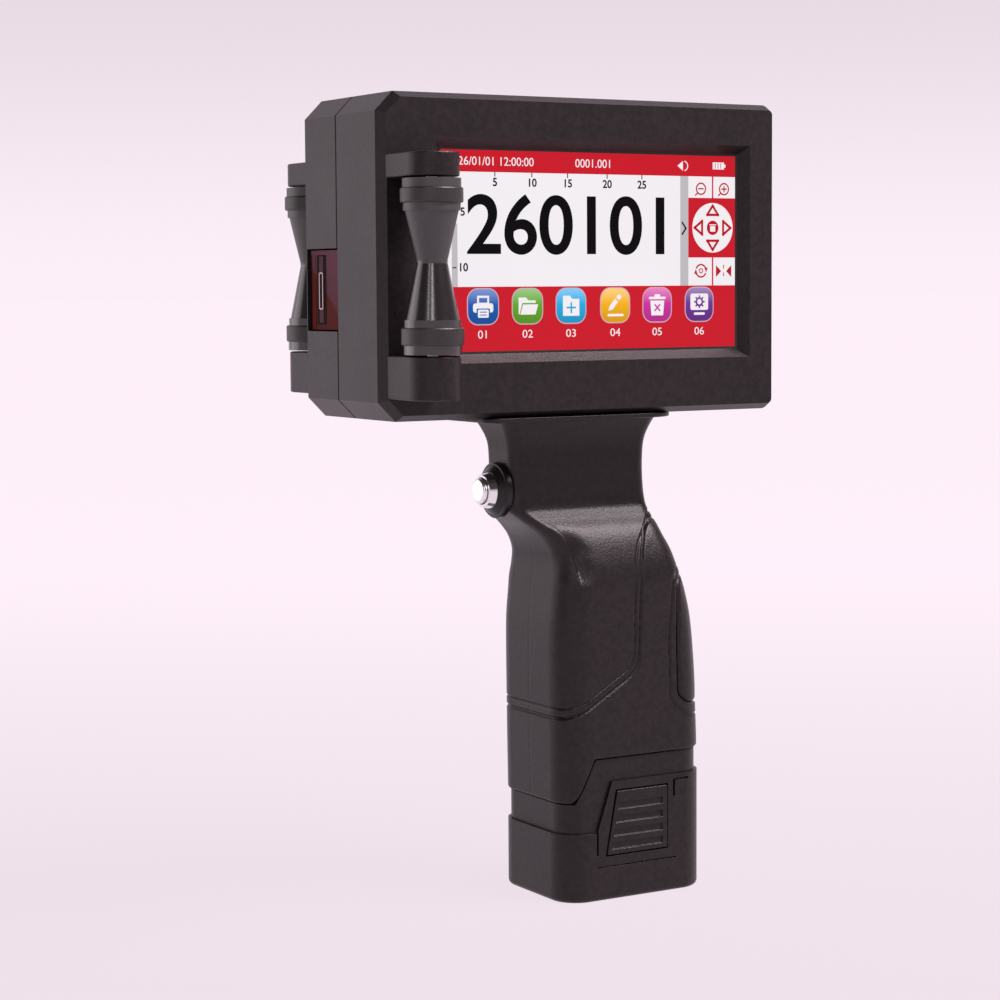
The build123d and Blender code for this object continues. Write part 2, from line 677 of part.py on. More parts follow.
def roller_profile(axis_y):
    """Half section of the hourglass roller, drawn beside its axis."""
    half = Plane(origin=(roller_x, axis_y, 0), x_dir=(1, 0, 0), z_dir=(0, -1, 0))
    lower_collar = roller_bottom + rim_height
    upper_collar = roller_top - rim_height
    lower_cone = lower_collar + lower_collar_height + ring_height
    upper_cone = upper_collar - upper_collar_height - ring_height
    groove_radius = cone_radius - 0.5
    with BuildSketch(half) as profile:
        with BuildLine():
            Polyline(
                (roller_axle_radius, roller_bottom),
                (rim_radius, roller_bottom),
                (rim_radius, lower_collar),
                (groove_radius, lower_collar),
                (groove_radius, lower_collar + lower_collar_height),
                (rim_radius - 0.2, lower_collar + lower_collar_height),
                (rim_radius - 0.2, lower_cone),
                (cone_radius, lower_cone),
                (waist_radius, waist_z - 0.5),
                (waist_radius, waist_z + 0.5),
                (cone_radius, upper_cone),
                (rim_radius - 0.2, upper_cone),
                (rim_radius - 0.2, upper_collar - upper_collar_height),
                (groove_radius, upper_collar - upper_collar_height),
                (groove_radius, upper_collar),
                (rim_radius, upper_collar),
                (rim_radius, roller_top),
                (roller_axle_radius, roller_top),
                close=True,
            )
        make_face()
    return profile.sketch


for side, sign in sides.items():
    axis_y = sign * roller_axis_y
    turning_axis = Axis((roller_x, axis_y, 0), (0, 0, 1))
    with BuildPart() as roller:
        revolve(roller_profile(axis_y), axis=turning_axis)
    save(roller, f"{side}_roller")

    with BuildPart() as tyres:
        collar_base = roller_bottom + rim_height
        rod((roller_x, axis_y, collar_base), (0, 0, 1), collar_radius, lower_collar_height)
        rod((roller_x, axis_y, roller_top - rim_height - upper_collar_height), (0, 0, 1),
            collar_radius, upper_collar_height)
        fillet(tyres.edges().filter_by(GeomType.CIRCLE), radius=0.5)
        rod((roller_x, axis_y, roller_bottom), (0, 0, 1), cone_radius - 0.5, roller_span,
            mode=Mode.SUBTRACT)
    save(tyres, f"{side}_roller_tyres")

    with BuildPart() as axle:
        axle_bottom = encoder_z
        rod((roller_x, axis_y, axle_bottom), (0, 0, 1), roller_axle_radius,
            upper_bracket_bottom + bush_length - axle_bottom)
    save(axle, f"{side}_roller_axle")

with BuildPart() as encoder_disc:
    disc_centre = (roller_x, -roller_axis_y, encoder_z)
    rod(disc_centre, (0, 0, 1), encoder_disc_radius, 0.6)
    rod(disc_centre, (0, 0, 1), roller_axle_radius + 1.0, 2.0)
    rod(disc_centre, (0, 0, 1), roller_axle_radius, 2.0, mode=Mode.SUBTRACT)
save(encoder_disc, "encoder_disc")

# ---- grip ---------------------------------------------------------------------------------
# stations of the grip from the head down: height, left, right, half depth, corner radius
grip_stations = [
    (flange_bottom, neck_left - 4.0, neck_right + 3.0, neck_half_depth + 4.5, neck_corner + 2.0),
    (head_bottom - 6.0, neck_left - 0.8, neck_right + 0.9, neck_half_depth + 0.8, neck_corner),
    (head_bottom - 13.0, neck_left, neck_right, neck_half_depth, neck_corner),
    (shoulder_z, neck_left, neck_right + 0.7, neck_half_depth + 1.0, neck_corner + 0.5),
    (shoulder_z - 5.5, grip_left - 4.6, neck_right + 2.2, grip_half_depth - 5.0, grip_corner - 3.0),
    (shoulder_z - 13.0, grip_left + 1.2, grip_right - 8.7, grip_half_depth - 1.8, grip_corner - 1.0),
    (shoulder_z - 24.0, grip_left + 0.4, grip_right - 4.8, grip_half_depth - 0.1, grip_corner),
    (72.0, grip_left - 0.4, grip_right - 1.7, grip_half_depth, grip_corner),
    (handle_high_edge, grip_left - 0.1, grip_right - 0.2, grip_half_depth, grip_corner),
    (handle_low_edge, grip_left, grip_right, grip_half_depth, grip_corner),
]


def grip_sections(inset):
    """Every grip station as a sketch, moved inwards by the inset."""
    sections = []
    for z, left, right, half_depth, radius in grip_stations:
        with BuildSketch(Plane.XY.offset(z)) as section:
            with Locations(((left + right) / 2, 0)):
                RectangleRounded(right - left - 2 * inset, 2 * (half_depth - inset),
                                 max(radius - inset, 0.8))
        sections.append(section.sketch)
    return sections


def step_region(low, high, step_x, step_run, limit):
    """Region between a flat limit and an edge that steps up towards the palm side."""
    reach = head_width
    with BuildSketch(plane_y(0)) as region:
        Polygon(
            (-reach, low),
            (step_x, low),
            (step_x + step_run, high),
            (reach, high),
            (reach, limit),
            (-reach, limit),
            align=None,
        )
    return region.sketch


finger_groove = [
    # x, z of the moulded groove along the flank, from the heel of the grip up to the neck
    (grip_left - 12.0, 55.0),
    (-1.6, 55.0),
    (18.9, 66.8),
    (19.5, 88.0),
    (20.2, 97.0),
    (24.0, 106.0),
    (neck_right + 4.0, shoulder_z - 1.0),
]


def palm_outline(grow):
    """Corners of the palm pad seen on the flank, moved outwards by the groove."""
    far = grip_right + 10.0
    edge = grip_right - pad_reach
    return [
        (edge - grow, 91.4 + grow / 2),
        (edge - 0.2 - grow, 57.4 - grow / 2),
        (edge + 3.0 - grow / 2, 54.8 - grow),
        (far, 54.8 - grow),
        (far, 94.5 + grow),
    ]


with BuildPart() as groove_cut:
    with BuildSketch(plane_y(0)):
        with BuildLine():
            FilletPolyline(*finger_groove, radius=4.0)
        trace(line_width=groove_width)
    extrude(amount=2 * grip_half_depth, both=True)
    loft(grip_sections(groove_depth), ruled=True, mode=Mode.SUBTRACT)

with BuildPart() as palm_pocket:
    with BuildSketch(plane_y(0)):
        Polygon(*palm_outline(groove_width), align=None)
    extrude(amount=2 * grip_half_depth, both=True)
    loft(grip_sections(pad_depth), ruled=True, mode=Mode.SUBTRACT)

with BuildPart() as palm_pad:
    loft(grip_sections(0), ruled=True)
    with BuildSketch(plane_y(0)):
        Polygon(*palm_outline(0), align=None)
    extrude(amount=2 * grip_half_depth, both=True, mode=Mode.INTERSECT)
    loft(grip_sections(pad_depth), ruled=True, mode=Mode.SUBTRACT)
save(palm_pad, "palm_pad")

handle_screw_sites = [(1.0, shoulder_z - 21.0), (29.0, shoulder_z - 21.0), (21.0, shoulder_z + 15.0)]
handle_boss_radius = 3.0

with BuildPart() as handle_blank:
    loft(grip_sections(0), ruled=True)
    loft(grip_sections(grip_wall), ruled=True, mode=Mode.SUBTRACT)
    # bosses for the screws that join the halves
    for x, z in handle_screw_sites:
        reach = 2 * (neck_half_depth - 1.0) if z > shoulder_z else 2 * (grip_half_depth - 2.5)
        rod((x, -reach / 2, z), (0, 1, 0), handle_boss_radius, reach)
    # flange under the head
    with BuildSketch(Plane.XY.offset(flange_bottom)):
        with Locations(((flange_left + flange_right) / 2, 0)):
            RectangleRounded(flange_right - flange_left, 2 * flange_half_depth, 4.0)
        with Locations(((neck_left + neck_right) / 2, 0)):
            RectangleRounded(neck_right - neck_left, 2 * neck_half_depth - 2 * grip_wall, 2.0,
                             mode=Mode.SUBTRACT)
    extrude(amount=flange_thickness)
    for x, y in neck_screw_sites:
        rod((x, y, head_bottom), (0, 0, -1), screw_radius, neck_screw_reach, mode=Mode.SUBTRACT)
    # mouth for the battery pack
    mouth = step_region(handle_low_edge, handle_high_edge, handle_step_x, handle_step_run,
                        handle_low_edge - 5)
    extrude(mouth, amount=2 * grip_half_depth, both=True, mode=Mode.SUBTRACT)
    rod((neck_left - 3, 0, trigger_z), (1, 0, 0), trigger_barrel_radius + 0.1, 8,
        mode=Mode.SUBTRACT)
    rod((nut_face_x, 0, trigger_z), (1, 0, 0), nut_corner_radius + 0.02,
        nut_collar + nut_thickness, mode=Mode.SUBTRACT)
    add(groove_cut.part, mode=Mode.SUBTRACT)
    add(palm_pocket.part, mode=Mode.SUBTRACT)

with BuildPart() as handle_front_half:
    add(handle_blank.part)
    split(bisect_by=Plane.XZ, keep=Keep.TOP)
    for x, z in handle_screw_sites:
        rod((x, -9.0 if z < shoulder_z else -5.5, z), (0, 1, 0), screw_radius, 10,
            mode=Mode.SUBTRACT)
save(handle_front_half, "handle_front_half")

with BuildPart() as handle_rear_half:
    add(handle_blank.part)
    split(bisect_by=Plane.XZ, keep=Keep.BOTTOM)
    for x, z in handle_screw_sites:
        head_seat = 3.5 if z > shoulder_z else grip_half_depth - 8.0
        rod((x, 0, z), (0, 1, 0), screw_radius + 0.15, grip_half_depth + 1, mode=Mode.SUBTRACT)
        rod((x, head_seat, z), (0, 1, 0), screw_head_radius + 0.3, grip_half_depth,
            mode=Mode.SUBTRACT)
save(handle_rear_half, "handle_rear_half")

with BuildPart() as handle_screws:
    for x, z in handle_screw_sites:
        head_seat = 3.5 if z > shoulder_z else grip_half_depth - 8.0
        tip_y = -5.0 if z > shoulder_z else -8.5
        screw((x, tip_y, z), (0, 1, 0), head_seat - tip_y)
save(handle_screws, "handle_screws")

# ---- trigger ------------------------------------------------------------------------------
trigger_flange_x = neck_left - trigger_flange_thickness
boss_end_x = trigger_flange_x - trigger_boss_length
barrel_end_x = neck_left + 9.0
spring_seat_x = barrel_end_x - 2.0
trigger_section = Plane(origin=(0, 0, trigger_z), x_dir=(1, 0, 0), z_dir=(0, -1, 0))
trigger_axis = Axis((0, 0, trigger_z), (1, 0, 0))

with BuildPart() as trigger_bushing:
    with BuildSketch(trigger_section):
        Polygon(
            (neck_left, 0),
            (neck_left, trigger_flange_radius),
            (trigger_flange_x + 0.4, trigger_flange_radius),
            (trigger_flange_x, trigger_flange_radius - 0.4),
            (trigger_flange_x, trigger_flange_radius - 0.8),
            (boss_end_x, trigger_ring_radius + 0.3),
            (boss_end_x, 0),
            align=None,
        )
    revolve(axis=trigger_axis)
    rod((neck_left, 0, trigger_z), (1, 0, 0), trigger_barrel_radius, barrel_end_x - neck_left)
    rod((boss_end_x - 1, 0, trigger_z), (1, 0, 0), trigger_bore, spring_seat_x - boss_end_x + 1,
        mode=Mode.SUBTRACT)
    rod((boss_end_x - 1, 0, trigger_z), (1, 0, 0), 1.3, barrel_end_x - boss_end_x + 3,
        mode=Mode.SUBTRACT)
save(trigger_bushing, "trigger_bushing")

ring_front_x = boss_end_x - 2.2
with BuildPart() as trigger_ring:
    with BuildSketch(trigger_section):
        Polygon(
            (boss_end_x, trigger_bore),
            (boss_end_x, trigger_ring_radius),
            (ring_front_x + 0.2, trigger_ring_radius - 0.5),
            (ring_front_x, trigger_ring_radius - 0.7),
            (ring_front_x, trigger_bore),
            align=None,
        )
    revolve(axis=trigger_axis)
save(trigger_ring, "trigger_ring")

stem_end_x = barrel_end_x + 0.4
with BuildPart() as trigger_button:
    rod((trigger_face_x, 0, trigger_z), (1, 0, 0), trigger_button_radius,
        boss_end_x + 2.0 - trigger_face_x)
    fillet(trigger_button.edges().filter_by(GeomType.CIRCLE).sort_by(Axis.X)[0], radius=0.8)
    rod((boss_end_x + 2.0, 0, trigger_z), (1, 0, 0), 1.1, stem_end_x - boss_end_x - 2.0)
save(trigger_button, "trigger_button")

spring_start_x = boss_end_x + 2.0
trigger_spring = coil((spring_start_x, 0, trigger_z), (1, 0, 0), 2.8, 0.3,
                      spring_seat_x - spring_start_x, 5)
save(trigger_spring, "trigger_spring")

with BuildPart() as trigger_nut:
    rod((nut_face_x, 0, trigger_z), (1, 0, 0), trigger_barrel_radius + 0.3, nut_collar)
    with BuildSketch(Plane.YZ.offset(nut_face_x + nut_collar)):
        with Locations((0, trigger_z)):
            RegularPolygon(radius=trigger_barrel_radius + nut_rim, side_count=6,
                           major_radius=False, rotation=30)
    extrude(amount=nut_thickness)
    rod((nut_face_x, 0, trigger_z), (1, 0, 0), trigger_barrel_radius, nut_collar + nut_thickness,
        mode=Mode.SUBTRACT)
save(trigger_nut, "trigger_nut")

with BuildPart() as trigger_switch:
    switch_x = stem_end_x + trigger_travel + 0.2
    rod((switch_x, 0, trigger_z), (1, 0, 0), 1.5, 1.4)
    block((switch_x + 1.4, switch_x + 10.0), (-3.2, 3.2), (trigger_z - 5.0, trigger_z + 5.0))
save(trigger_switch, "trigger_switch")

# ---- battery terminals in the handle ------------------------------------------------------
contact_sites = [tower_centre_x - 8.0, tower_centre_x, tower_centre_x + 8.0]
terminal_gap = 0.4
terminal_bottom = tower_top + 2.0
terminal_half_depth = 5.0
with BuildPart() as terminal_block:
    block((tower_centre_x - 14.0, tower_centre_x + 14.0),
          (-terminal_half_depth, terminal_half_depth), (terminal_bottom, terminal_bottom + 5.0))
save(terminal_block, "terminal_block")

with BuildPart() as terminal_blades:
    for x in contact_sites:
        block((x - 1.5, x + 1.5), (-3.0, 3.0), (tower_top + terminal_gap, terminal_bottom))
save(terminal_blades, "terminal_blades")

# ---- battery pack -------------------------------------------------------------------------


def battery_sketch(z, inset):
    """Section of the battery pack, moved inwards by the inset."""
    with BuildSketch(Plane.XY.offset(z)) as section:
        with Locations((battery_centre_x, 0)):
            RectangleRounded(grip_right - grip_left - 2 * inset,
                             2 * (grip_half_depth - inset), grip_corner - inset)
    return section.sketch


def release_outline(grow):
    """Corners of the leaning outline of a release button on the flank."""
    return [
        (release_left - grow, release_bottom - grow),
        (release_right + grow, release_bottom - grow),
        (release_right + grow, release_top + grow),
        (release_left + release_lean - grow, release_top + grow),
    ]


arm_left = latch_stem_x - 6.0
arm_right = latch_stem_x + 6.0
arm_top = handle_high_edge + 3.0
arm_front = grip_half_depth - battery_wall - 0.9
arm_back = arm_front - 1.5
case_flank_y = grip_half_depth - battery_wall
partition_y = cell_radius + partition_gap
partition_outer_y = partition_y + partition_thickness
flank_slits = [
    # x limits and z limits of the moulded slits round each release button
    ((battery_step_x - 0.3, battery_step_x + 0.3), (release_bottom, battery_low_edge + 0.5)),
    ((release_right + 2.2, release_right + 2.9), (battery_high_edge - 6.5, battery_high_edge - 1.2)),
    ((release_right + 2.2, release_right + 7.6), (battery_high_edge - 1.9, battery_high_edge - 1.2)),
    ((battery_step_x, release_right + 3.6), (release_bottom - 3.5, release_bottom - 3.2)),
]
with BuildPart() as battery_case:
    extrude(battery_sketch(0, 0), amount=battery_high_edge)
    fillet(battery_case.faces().sort_by(Axis.Z)[0].edges(), radius=1.5)
    extrude(battery_sketch(battery_wall, battery_wall), amount=battery_high_edge,
            mode=Mode.SUBTRACT)
    # partitions between the cells and the release springs
    for sign in sides.values():
        block((release_left - 2.0, release_right + 2.0),
              sorted((sign * partition_y, sign * partition_outer_y)),
              (battery_wall, deck_bottom - 0.2))
        block((release_left - 2.0, release_left - 1.0),
              sorted((sign * partition_y, sign * case_flank_y)),
              (battery_wall, battery_low_edge))
    # stepped top edge
    case_top = step_region(battery_low_edge, battery_high_edge, battery_step_x,
                           battery_step_run, battery_high_edge + 5)
    extrude(case_top, amount=2 * grip_half_depth, both=True, mode=Mode.SUBTRACT)
    # windows for the release buttons and the slits around each
    for sign in sides.values():
        with BuildSketch(plane_y(sign * (grip_half_depth + 1))):
            Polygon(*release_outline(release_gap), align=None)
        extrude(amount=sign * (1 + battery_wall + 1), mode=Mode.SUBTRACT)
        for x_limits, z_limits in flank_slits:
            slit_y = sorted((sign * (grip_half_depth - flank_slit_depth), sign * (grip_half_depth + 1)))
            block(x_limits, slit_y, z_limits, mode=Mode.SUBTRACT)
save(battery_case, "battery_case")

with BuildPart() as battery_tower:
    # recessed band that closes the case and seats under the handle
    band_bottom = battery_low_edge - 3.0
    extrude(battery_sketch(band_bottom, band_inset), amount=handle_high_edge - band_bottom)
    extrude(battery_sketch(band_bottom, battery_wall + 0.4), amount=handle_high_edge - band_bottom,
            mode=Mode.SUBTRACT)
    band_top = step_region(handle_low_edge - parting_gap, handle_high_edge - parting_gap,
                           handle_step_x, handle_step_run, handle_high_edge + 5)
    extrude(band_top, amount=2 * grip_half_depth, both=True, mode=Mode.SUBTRACT)
    band_foot = step_region(battery_low_edge, battery_high_edge, battery_step_x,
                            battery_step_run, band_bottom - 5)
    extrude(band_foot, amount=2 * grip_half_depth, both=True, mode=Mode.SUBTRACT)
    # deck that joins the band to the tower
    extrude(battery_sketch(deck_bottom, battery_wall + 0.3), amount=deck_thickness)
    # tower round the cells
    with BuildSketch(Plane.XY.offset(deck_bottom)):
        with Locations((tower_centre_x, 0)):
            SlotOverall(tower_length, tower_depth)
    extrude(amount=tower_top - deck_bottom)
    with BuildSketch(Plane.XY.offset(deck_bottom - 1)):
        with Locations((tower_centre_x, 0)):
            SlotOverall(tower_length - 2 * tower_wall, tower_depth - 2 * tower_wall)
    extrude(amount=tower_top - tower_wall - deck_bottom + 1, mode=Mode.SUBTRACT)
    # slots that the latch arms and the button plates move in
    for sign in sides.values():
        for x_limits, back in (
            ((arm_left - release_gap, arm_right + release_gap), arm_back),
            ((release_left, release_right + release_gap), plate_back),
        ):
            deepest = back - release_travel - release_gap
            block(x_limits, sorted((sign * deepest, sign * grip_half_depth)),
                  (deck_bottom - 1, deck_top + 1), mode=Mode.SUBTRACT)
    for x in contact_sites:
        block((x - 2.0, x + 2.0), (-3.5, 3.5), (tower_top - 0.5, tower_top + 1),
              mode=Mode.SUBTRACT)
save(battery_tower, "battery_tower")

with BuildPart() as battery_contacts:
    for x in contact_sites:
        block((x - 2.0, x + 2.0), (-3.5, 3.5), (tower_top - 0.5, tower_top))
save(battery_contacts, "battery_contacts")

with BuildPart() as battery_cells:
    for sign in sides.values():
        x = tower_centre_x + sign * (cell_radius + cell_gap / 2)
        rod((x, 0, cell_bottom), (0, 0, 1), cell_radius, cell_length)
save(battery_cells, "battery_cells")

with BuildPart() as battery_board:
    block((tower_centre_x - 15.0, tower_centre_x + 15.0), (-6.5, 6.5),
          (cell_top + 1.0, cell_top + 1.0 + board_thickness))
save(battery_board, "battery_board")

with BuildPart() as cell_cradle:
    block((tower_centre_x - 18.0, tower_centre_x + 18.0), (-8.0, 8.0),
          (battery_wall, cell_bottom))
save(cell_cradle, "cell_cradle")

# ---- release buttons ----------------------------------------------------------------------
stem_end = partition_outer_y + release_travel + 0.3
for side, sign in sides.items():
    with BuildPart() as release_button:
        with BuildSketch(plane_y(sign * plate_back)):
            Polygon(*release_outline(0), align=None)
        extrude(amount=-sign * plate_depth)
        for index in range(rib_count):
            rib_z = release_bottom + rib_first + index * rib_pitch
            lean = release_lean * (rib_z - release_bottom) / (release_top - release_bottom)
            block((release_left + lean + 1.2, release_right - 1.6),
                  sorted((sign * (plate_front - rib_depth), sign * (plate_front + 1))),
                  (rib_z - rib_width / 2, rib_z + rib_width / 2), mode=Mode.SUBTRACT)
        rod((latch_stem_x, sign * plate_back, latch_stem_z), (0, -sign, 0), 1.8,
            plate_back - stem_end)
        # latch arm reaching up inside the band to the handle
        block((arm_left, arm_right), sorted((sign * plate_back, sign * arm_back)),
              (release_top - 3.0, release_top - 0.5))
        block((arm_left, arm_right), sorted((sign * arm_front, sign * arm_back)),
              (release_top - 3.0, arm_top))
    save(release_button, f"release_button_{side}")

    start = (latch_stem_x, sign * plate_back, latch_stem_z)
    latch_spring = coil(start, (0, -sign, 0), latch_spring_radius, 0.3,
                        plate_back - partition_outer_y, 4)
    save(latch_spring, f"latch_spring_{side}")
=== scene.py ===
"""Looks of the handheld date code printer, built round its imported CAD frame."""
import json
import math
import bpy
import numpy as np
from mathutils import Matrix, Vector


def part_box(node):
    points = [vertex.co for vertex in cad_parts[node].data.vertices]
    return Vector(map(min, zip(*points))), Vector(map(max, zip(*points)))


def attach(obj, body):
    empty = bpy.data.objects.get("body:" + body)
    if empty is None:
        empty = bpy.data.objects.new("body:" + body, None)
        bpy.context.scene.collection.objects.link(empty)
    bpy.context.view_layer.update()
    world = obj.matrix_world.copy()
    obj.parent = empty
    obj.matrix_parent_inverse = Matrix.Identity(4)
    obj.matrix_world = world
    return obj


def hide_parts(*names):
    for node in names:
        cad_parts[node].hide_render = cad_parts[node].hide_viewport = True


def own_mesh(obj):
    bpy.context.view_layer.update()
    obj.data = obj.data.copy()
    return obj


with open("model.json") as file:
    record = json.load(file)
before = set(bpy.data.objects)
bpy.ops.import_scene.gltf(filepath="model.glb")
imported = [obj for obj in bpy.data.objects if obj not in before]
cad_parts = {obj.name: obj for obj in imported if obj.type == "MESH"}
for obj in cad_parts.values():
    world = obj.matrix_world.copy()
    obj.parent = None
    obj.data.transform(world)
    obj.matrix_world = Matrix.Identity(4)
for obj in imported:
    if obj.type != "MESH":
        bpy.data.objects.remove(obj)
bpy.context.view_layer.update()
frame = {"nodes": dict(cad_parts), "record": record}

MM = 0.001                    # lengths below are in millimetres, unless they say metres
record = frame["record"]
nodes = frame["nodes"]
scene = bpy.context.scene


# ---- places read from the frame, in millimetres ----------
def low(node):
    """Lowest corner of a node's box."""
    return Vector(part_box(node)[0]) / MM


def high(node):
    """Highest corner of a node's box."""
    return Vector(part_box(node)[1]) / MM


# ---- materials -------------------------------------------
def new_material(name, colour, roughness, **values):
    """A Principled material; further values go straight onto the shader's sockets."""
    material = bpy.data.materials.new(name)
    material.use_nodes = True
    shader = material.node_tree.nodes["Principled BSDF"]
    shader.inputs["Base Color"].default_value = (*colour, 1.0)
    shader.inputs["Roughness"].default_value = roughness
    for key, value in values.items():
        shader.inputs[key.replace("_", " ")].default_value = value
    return material


def noise(tree, scale, detail=4.0, stretch=(1.0, 1.0, 1.0)):
    """A noise texture fixed to the object, with its scale per metre."""
    coords = tree.nodes.new("ShaderNodeTexCoord")
    mapping = tree.nodes.new("ShaderNodeMapping")
    mapping.inputs["Scale"].default_value = stretch
    texture = tree.nodes.new("ShaderNodeTexNoise")
    texture.inputs["Scale"].default_value = scale
    texture.inputs["Detail"].default_value = detail
    texture.inputs["Roughness"].default_value = 0.6
    tree.links.new(coords.outputs["Object"], mapping.inputs["Vector"])
    tree.links.new(mapping.outputs["Vector"], texture.inputs["Vector"])
    return texture


def ramp(tree, source, stops):
    """A colour ramp over a texture's factor; stops are positions with their colours."""
    node = tree.nodes.new("ShaderNodeValToRGB")
    elements = node.color_ramp.elements
    elements[0].position, elements[0].color = stops[0][0], (*stops[0][1], 1.0)
    elements[1].position, elements[1].color = stops[-1][0], (*stops[-1][1], 1.0)
    for position, colour in stops[1:-1]:
        element = elements.new(position)
        element.color = (*colour, 1.0)
    tree.links.new(source, node.inputs["Fac"])
    return node


def add_bump(tree, source, strength, distance):
    """Bump from a texture's factor; the distance is in metres."""
    bump = tree.nodes.new("ShaderNodeBump")
    bump.inputs["Strength"].default_value = strength
    bump.inputs["Distance"].default_value = distance
    tree.links.new(source, bump.inputs["Height"])
    tree.links.new(bump.outputs["Normal"], tree.nodes["Principled BSDF"].inputs["Normal"])


SPECKLE = 0.85                # share of the fine noise in the tint; the rest is broad clouds
CLOUD_SCALE = 38.0
SPECKLE_TO_GRAIN = 0.35       # scale of the fine noise, as a share of the bump's scale
GRAIN_DEPTH = 0.0002          # metres
GLOSS_SWING = 0.03            # change of roughness between the clouds


def add_grain(material, scale, strength, blend=0.12):
    """Moulded grain: a fine bump, and slight changes of colour and roughness."""
    tree = material.node_tree
    shader = tree.nodes["Principled BSDF"]
    base = tuple(shader.inputs["Base Color"].default_value)[:3]
    level = shader.inputs["Roughness"].default_value
    add_bump(tree, noise(tree, scale).outputs["Fac"], strength, GRAIN_DEPTH)
    broad = noise(tree, CLOUD_SCALE, detail=5.0)
    dark = tuple(c * (1 - blend) for c in base)
    pale = tuple(c * (1 + blend) for c in base)
    speckle = noise(tree, scale * SPECKLE_TO_GRAIN, detail=2.0)
    mixed = tree.nodes.new("ShaderNodeMath")
    mixed.operation = "MULTIPLY_ADD"
    mixed.inputs[1].default_value = SPECKLE
    tree.links.new(speckle.outputs["Fac"], mixed.inputs[0])
    faded = tree.nodes.new("ShaderNodeMath")
    faded.operation = "MULTIPLY"
    faded.inputs[1].default_value = 1 - SPECKLE
    tree.links.new(broad.outputs["Fac"], faded.inputs[0])
    tree.links.new(faded.outputs["Value"], mixed.inputs[2])
    tint = ramp(tree, mixed.outputs["Value"], [(0.38, dark), (0.62, pale)])
    tree.links.new(tint.outputs["Color"], shader.inputs["Base Color"])
    rough = ramp(tree, broad.outputs["Fac"],
                 [(0.3, (level - GLOSS_SWING,) * 3), (0.7, (level + GLOSS_SWING,) * 3)])
    tree.links.new(rough.outputs["Color"], shader.inputs["Roughness"])
    return material


def brushed(material, scale, strength):
    """Fine drawn lines in a metal, across the object's height."""
    tree = material.node_tree
    lines = noise(tree, scale, stretch=(1.0, 1.0, 30.0))
    add_bump(tree, lines.outputs["Fac"], strength, 0.0001)
    return material


def two_part_gloss(material, split, blend_height, lower, upper):
    """Roughness that changes at a height: one value below the split and another above it."""
    tree = material.node_tree
    coords = tree.nodes.new("ShaderNodeTexCoord")
    parts = tree.nodes.new("ShaderNodeSeparateXYZ")
    scaled = tree.nodes.new("ShaderNodeMapRange")
    scaled.inputs["From Min"].default_value = (split - blend_height) * MM
    scaled.inputs["From Max"].default_value = (split + blend_height) * MM
    scaled.inputs["To Min"].default_value = lower
    scaled.inputs["To Max"].default_value = upper
    tree.links.new(coords.outputs["Object"], parts.inputs["Vector"])
    tree.links.new(parts.outputs["Z"], scaled.inputs["Value"])
    tree.links.new(scaled.outputs["Result"], tree.nodes["Principled BSDF"].inputs["Roughness"])


PLASTIC = (0.0100, 0.0068, 0.0075)
housing = add_grain(new_material("housing_plastic", PLASTIC, 0.37, Specular_IOR_Level=0.34,
                                 Specular_Tint=(1.0, 0.93, 0.95, 1.0)),
                    1700.0, 0.45, blend=0.3)
roller_gloss = add_grain(new_material("roller_plastic", (0.015, 0.0110, 0.0125), 0.22,
                                      Specular_IOR_Level=0.85, Coat_Weight=0.2,
                                      Coat_Roughness=0.25), 1800.0, 0.05)
# the roller is polished below its waist, which is just above its middle, and matt above it
roller_waist = (low("front_roller").z + high("front_roller").z) / 2 + 1.3
two_part_gloss(roller_gloss, roller_waist, 0.4, 0.22, 0.52)
rubber = add_grain(new_material("roller_rubber", (0.015, 0.011, 0.012), 0.42,
                                Specular_IOR_Level=0.6), 3000.0, 0.2)
black_part = add_grain(new_material("component_black", (0.008, 0.0065, 0.007), 0.32,
                                    Specular_IOR_Level=0.35), 2400.0, 0.06)
board_green = add_grain(new_material("circuit_board", (0.02, 0.14, 0.06), 0.35), 900.0, 0.1)
steel = brushed(new_material("steel", (0.60, 0.60, 0.61), 0.28, Metallic=1.0), 900.0, 0.1)
black_steel = add_grain(new_material("screw_steel", (0.06, 0.06, 0.065), 0.35, Metallic=1.0),
                        2000.0, 0.08)
chrome = brushed(new_material("chrome", (0.86, 0.85, 0.86), 0.05, Metallic=1.0), 300.0, 0.01)
button_face = brushed(new_material("button_face", (0.92, 0.90, 0.91), 0.32, Metallic=1.0),
                      500.0, 0.03)
brass = add_grain(new_material("brass", (0.78, 0.56, 0.22), 0.25, Metallic=1.0), 1500.0, 0.06)
cell_blue = add_grain(new_material("cell_wrap", (0.03, 0.16, 0.45), 0.3), 700.0, 0.05)
foam = add_grain(new_material("foam", (0.05, 0.05, 0.055), 0.9), 1500.0, 0.6)
display_back = brushed(new_material("display_module", (0.45, 0.45, 0.46), 0.4, Metallic=1.0),
                       500.0, 0.1)
glass_black = add_grain(new_material("display_glass", (0.006, 0.005, 0.005), 0.08), 60.0, 0.01)

slot_materials = {
    "housing_plastic": housing,
    "soft_pad": housing,
    "roller_plastic": roller_gloss,
    "roller_rubber": rubber,
    "display_glass": glass_black,
    "display_module": display_back,
    "circuit_board": board_green,
    "component_black": black_part,
    "steel": steel,
    "screw_steel": black_steel,
    "chrome": chrome,
    "brass": brass,
    "button_face": button_face,
    "cartridge_black": black_part,
    "foam": foam,
    "cell_wrap": cell_blue,
}


FILM_SLOPE = 0.8              # slope of the line between the film's two tints
FILM_SPREAD = 12.0            # distance over which the tints change, to each side of the line


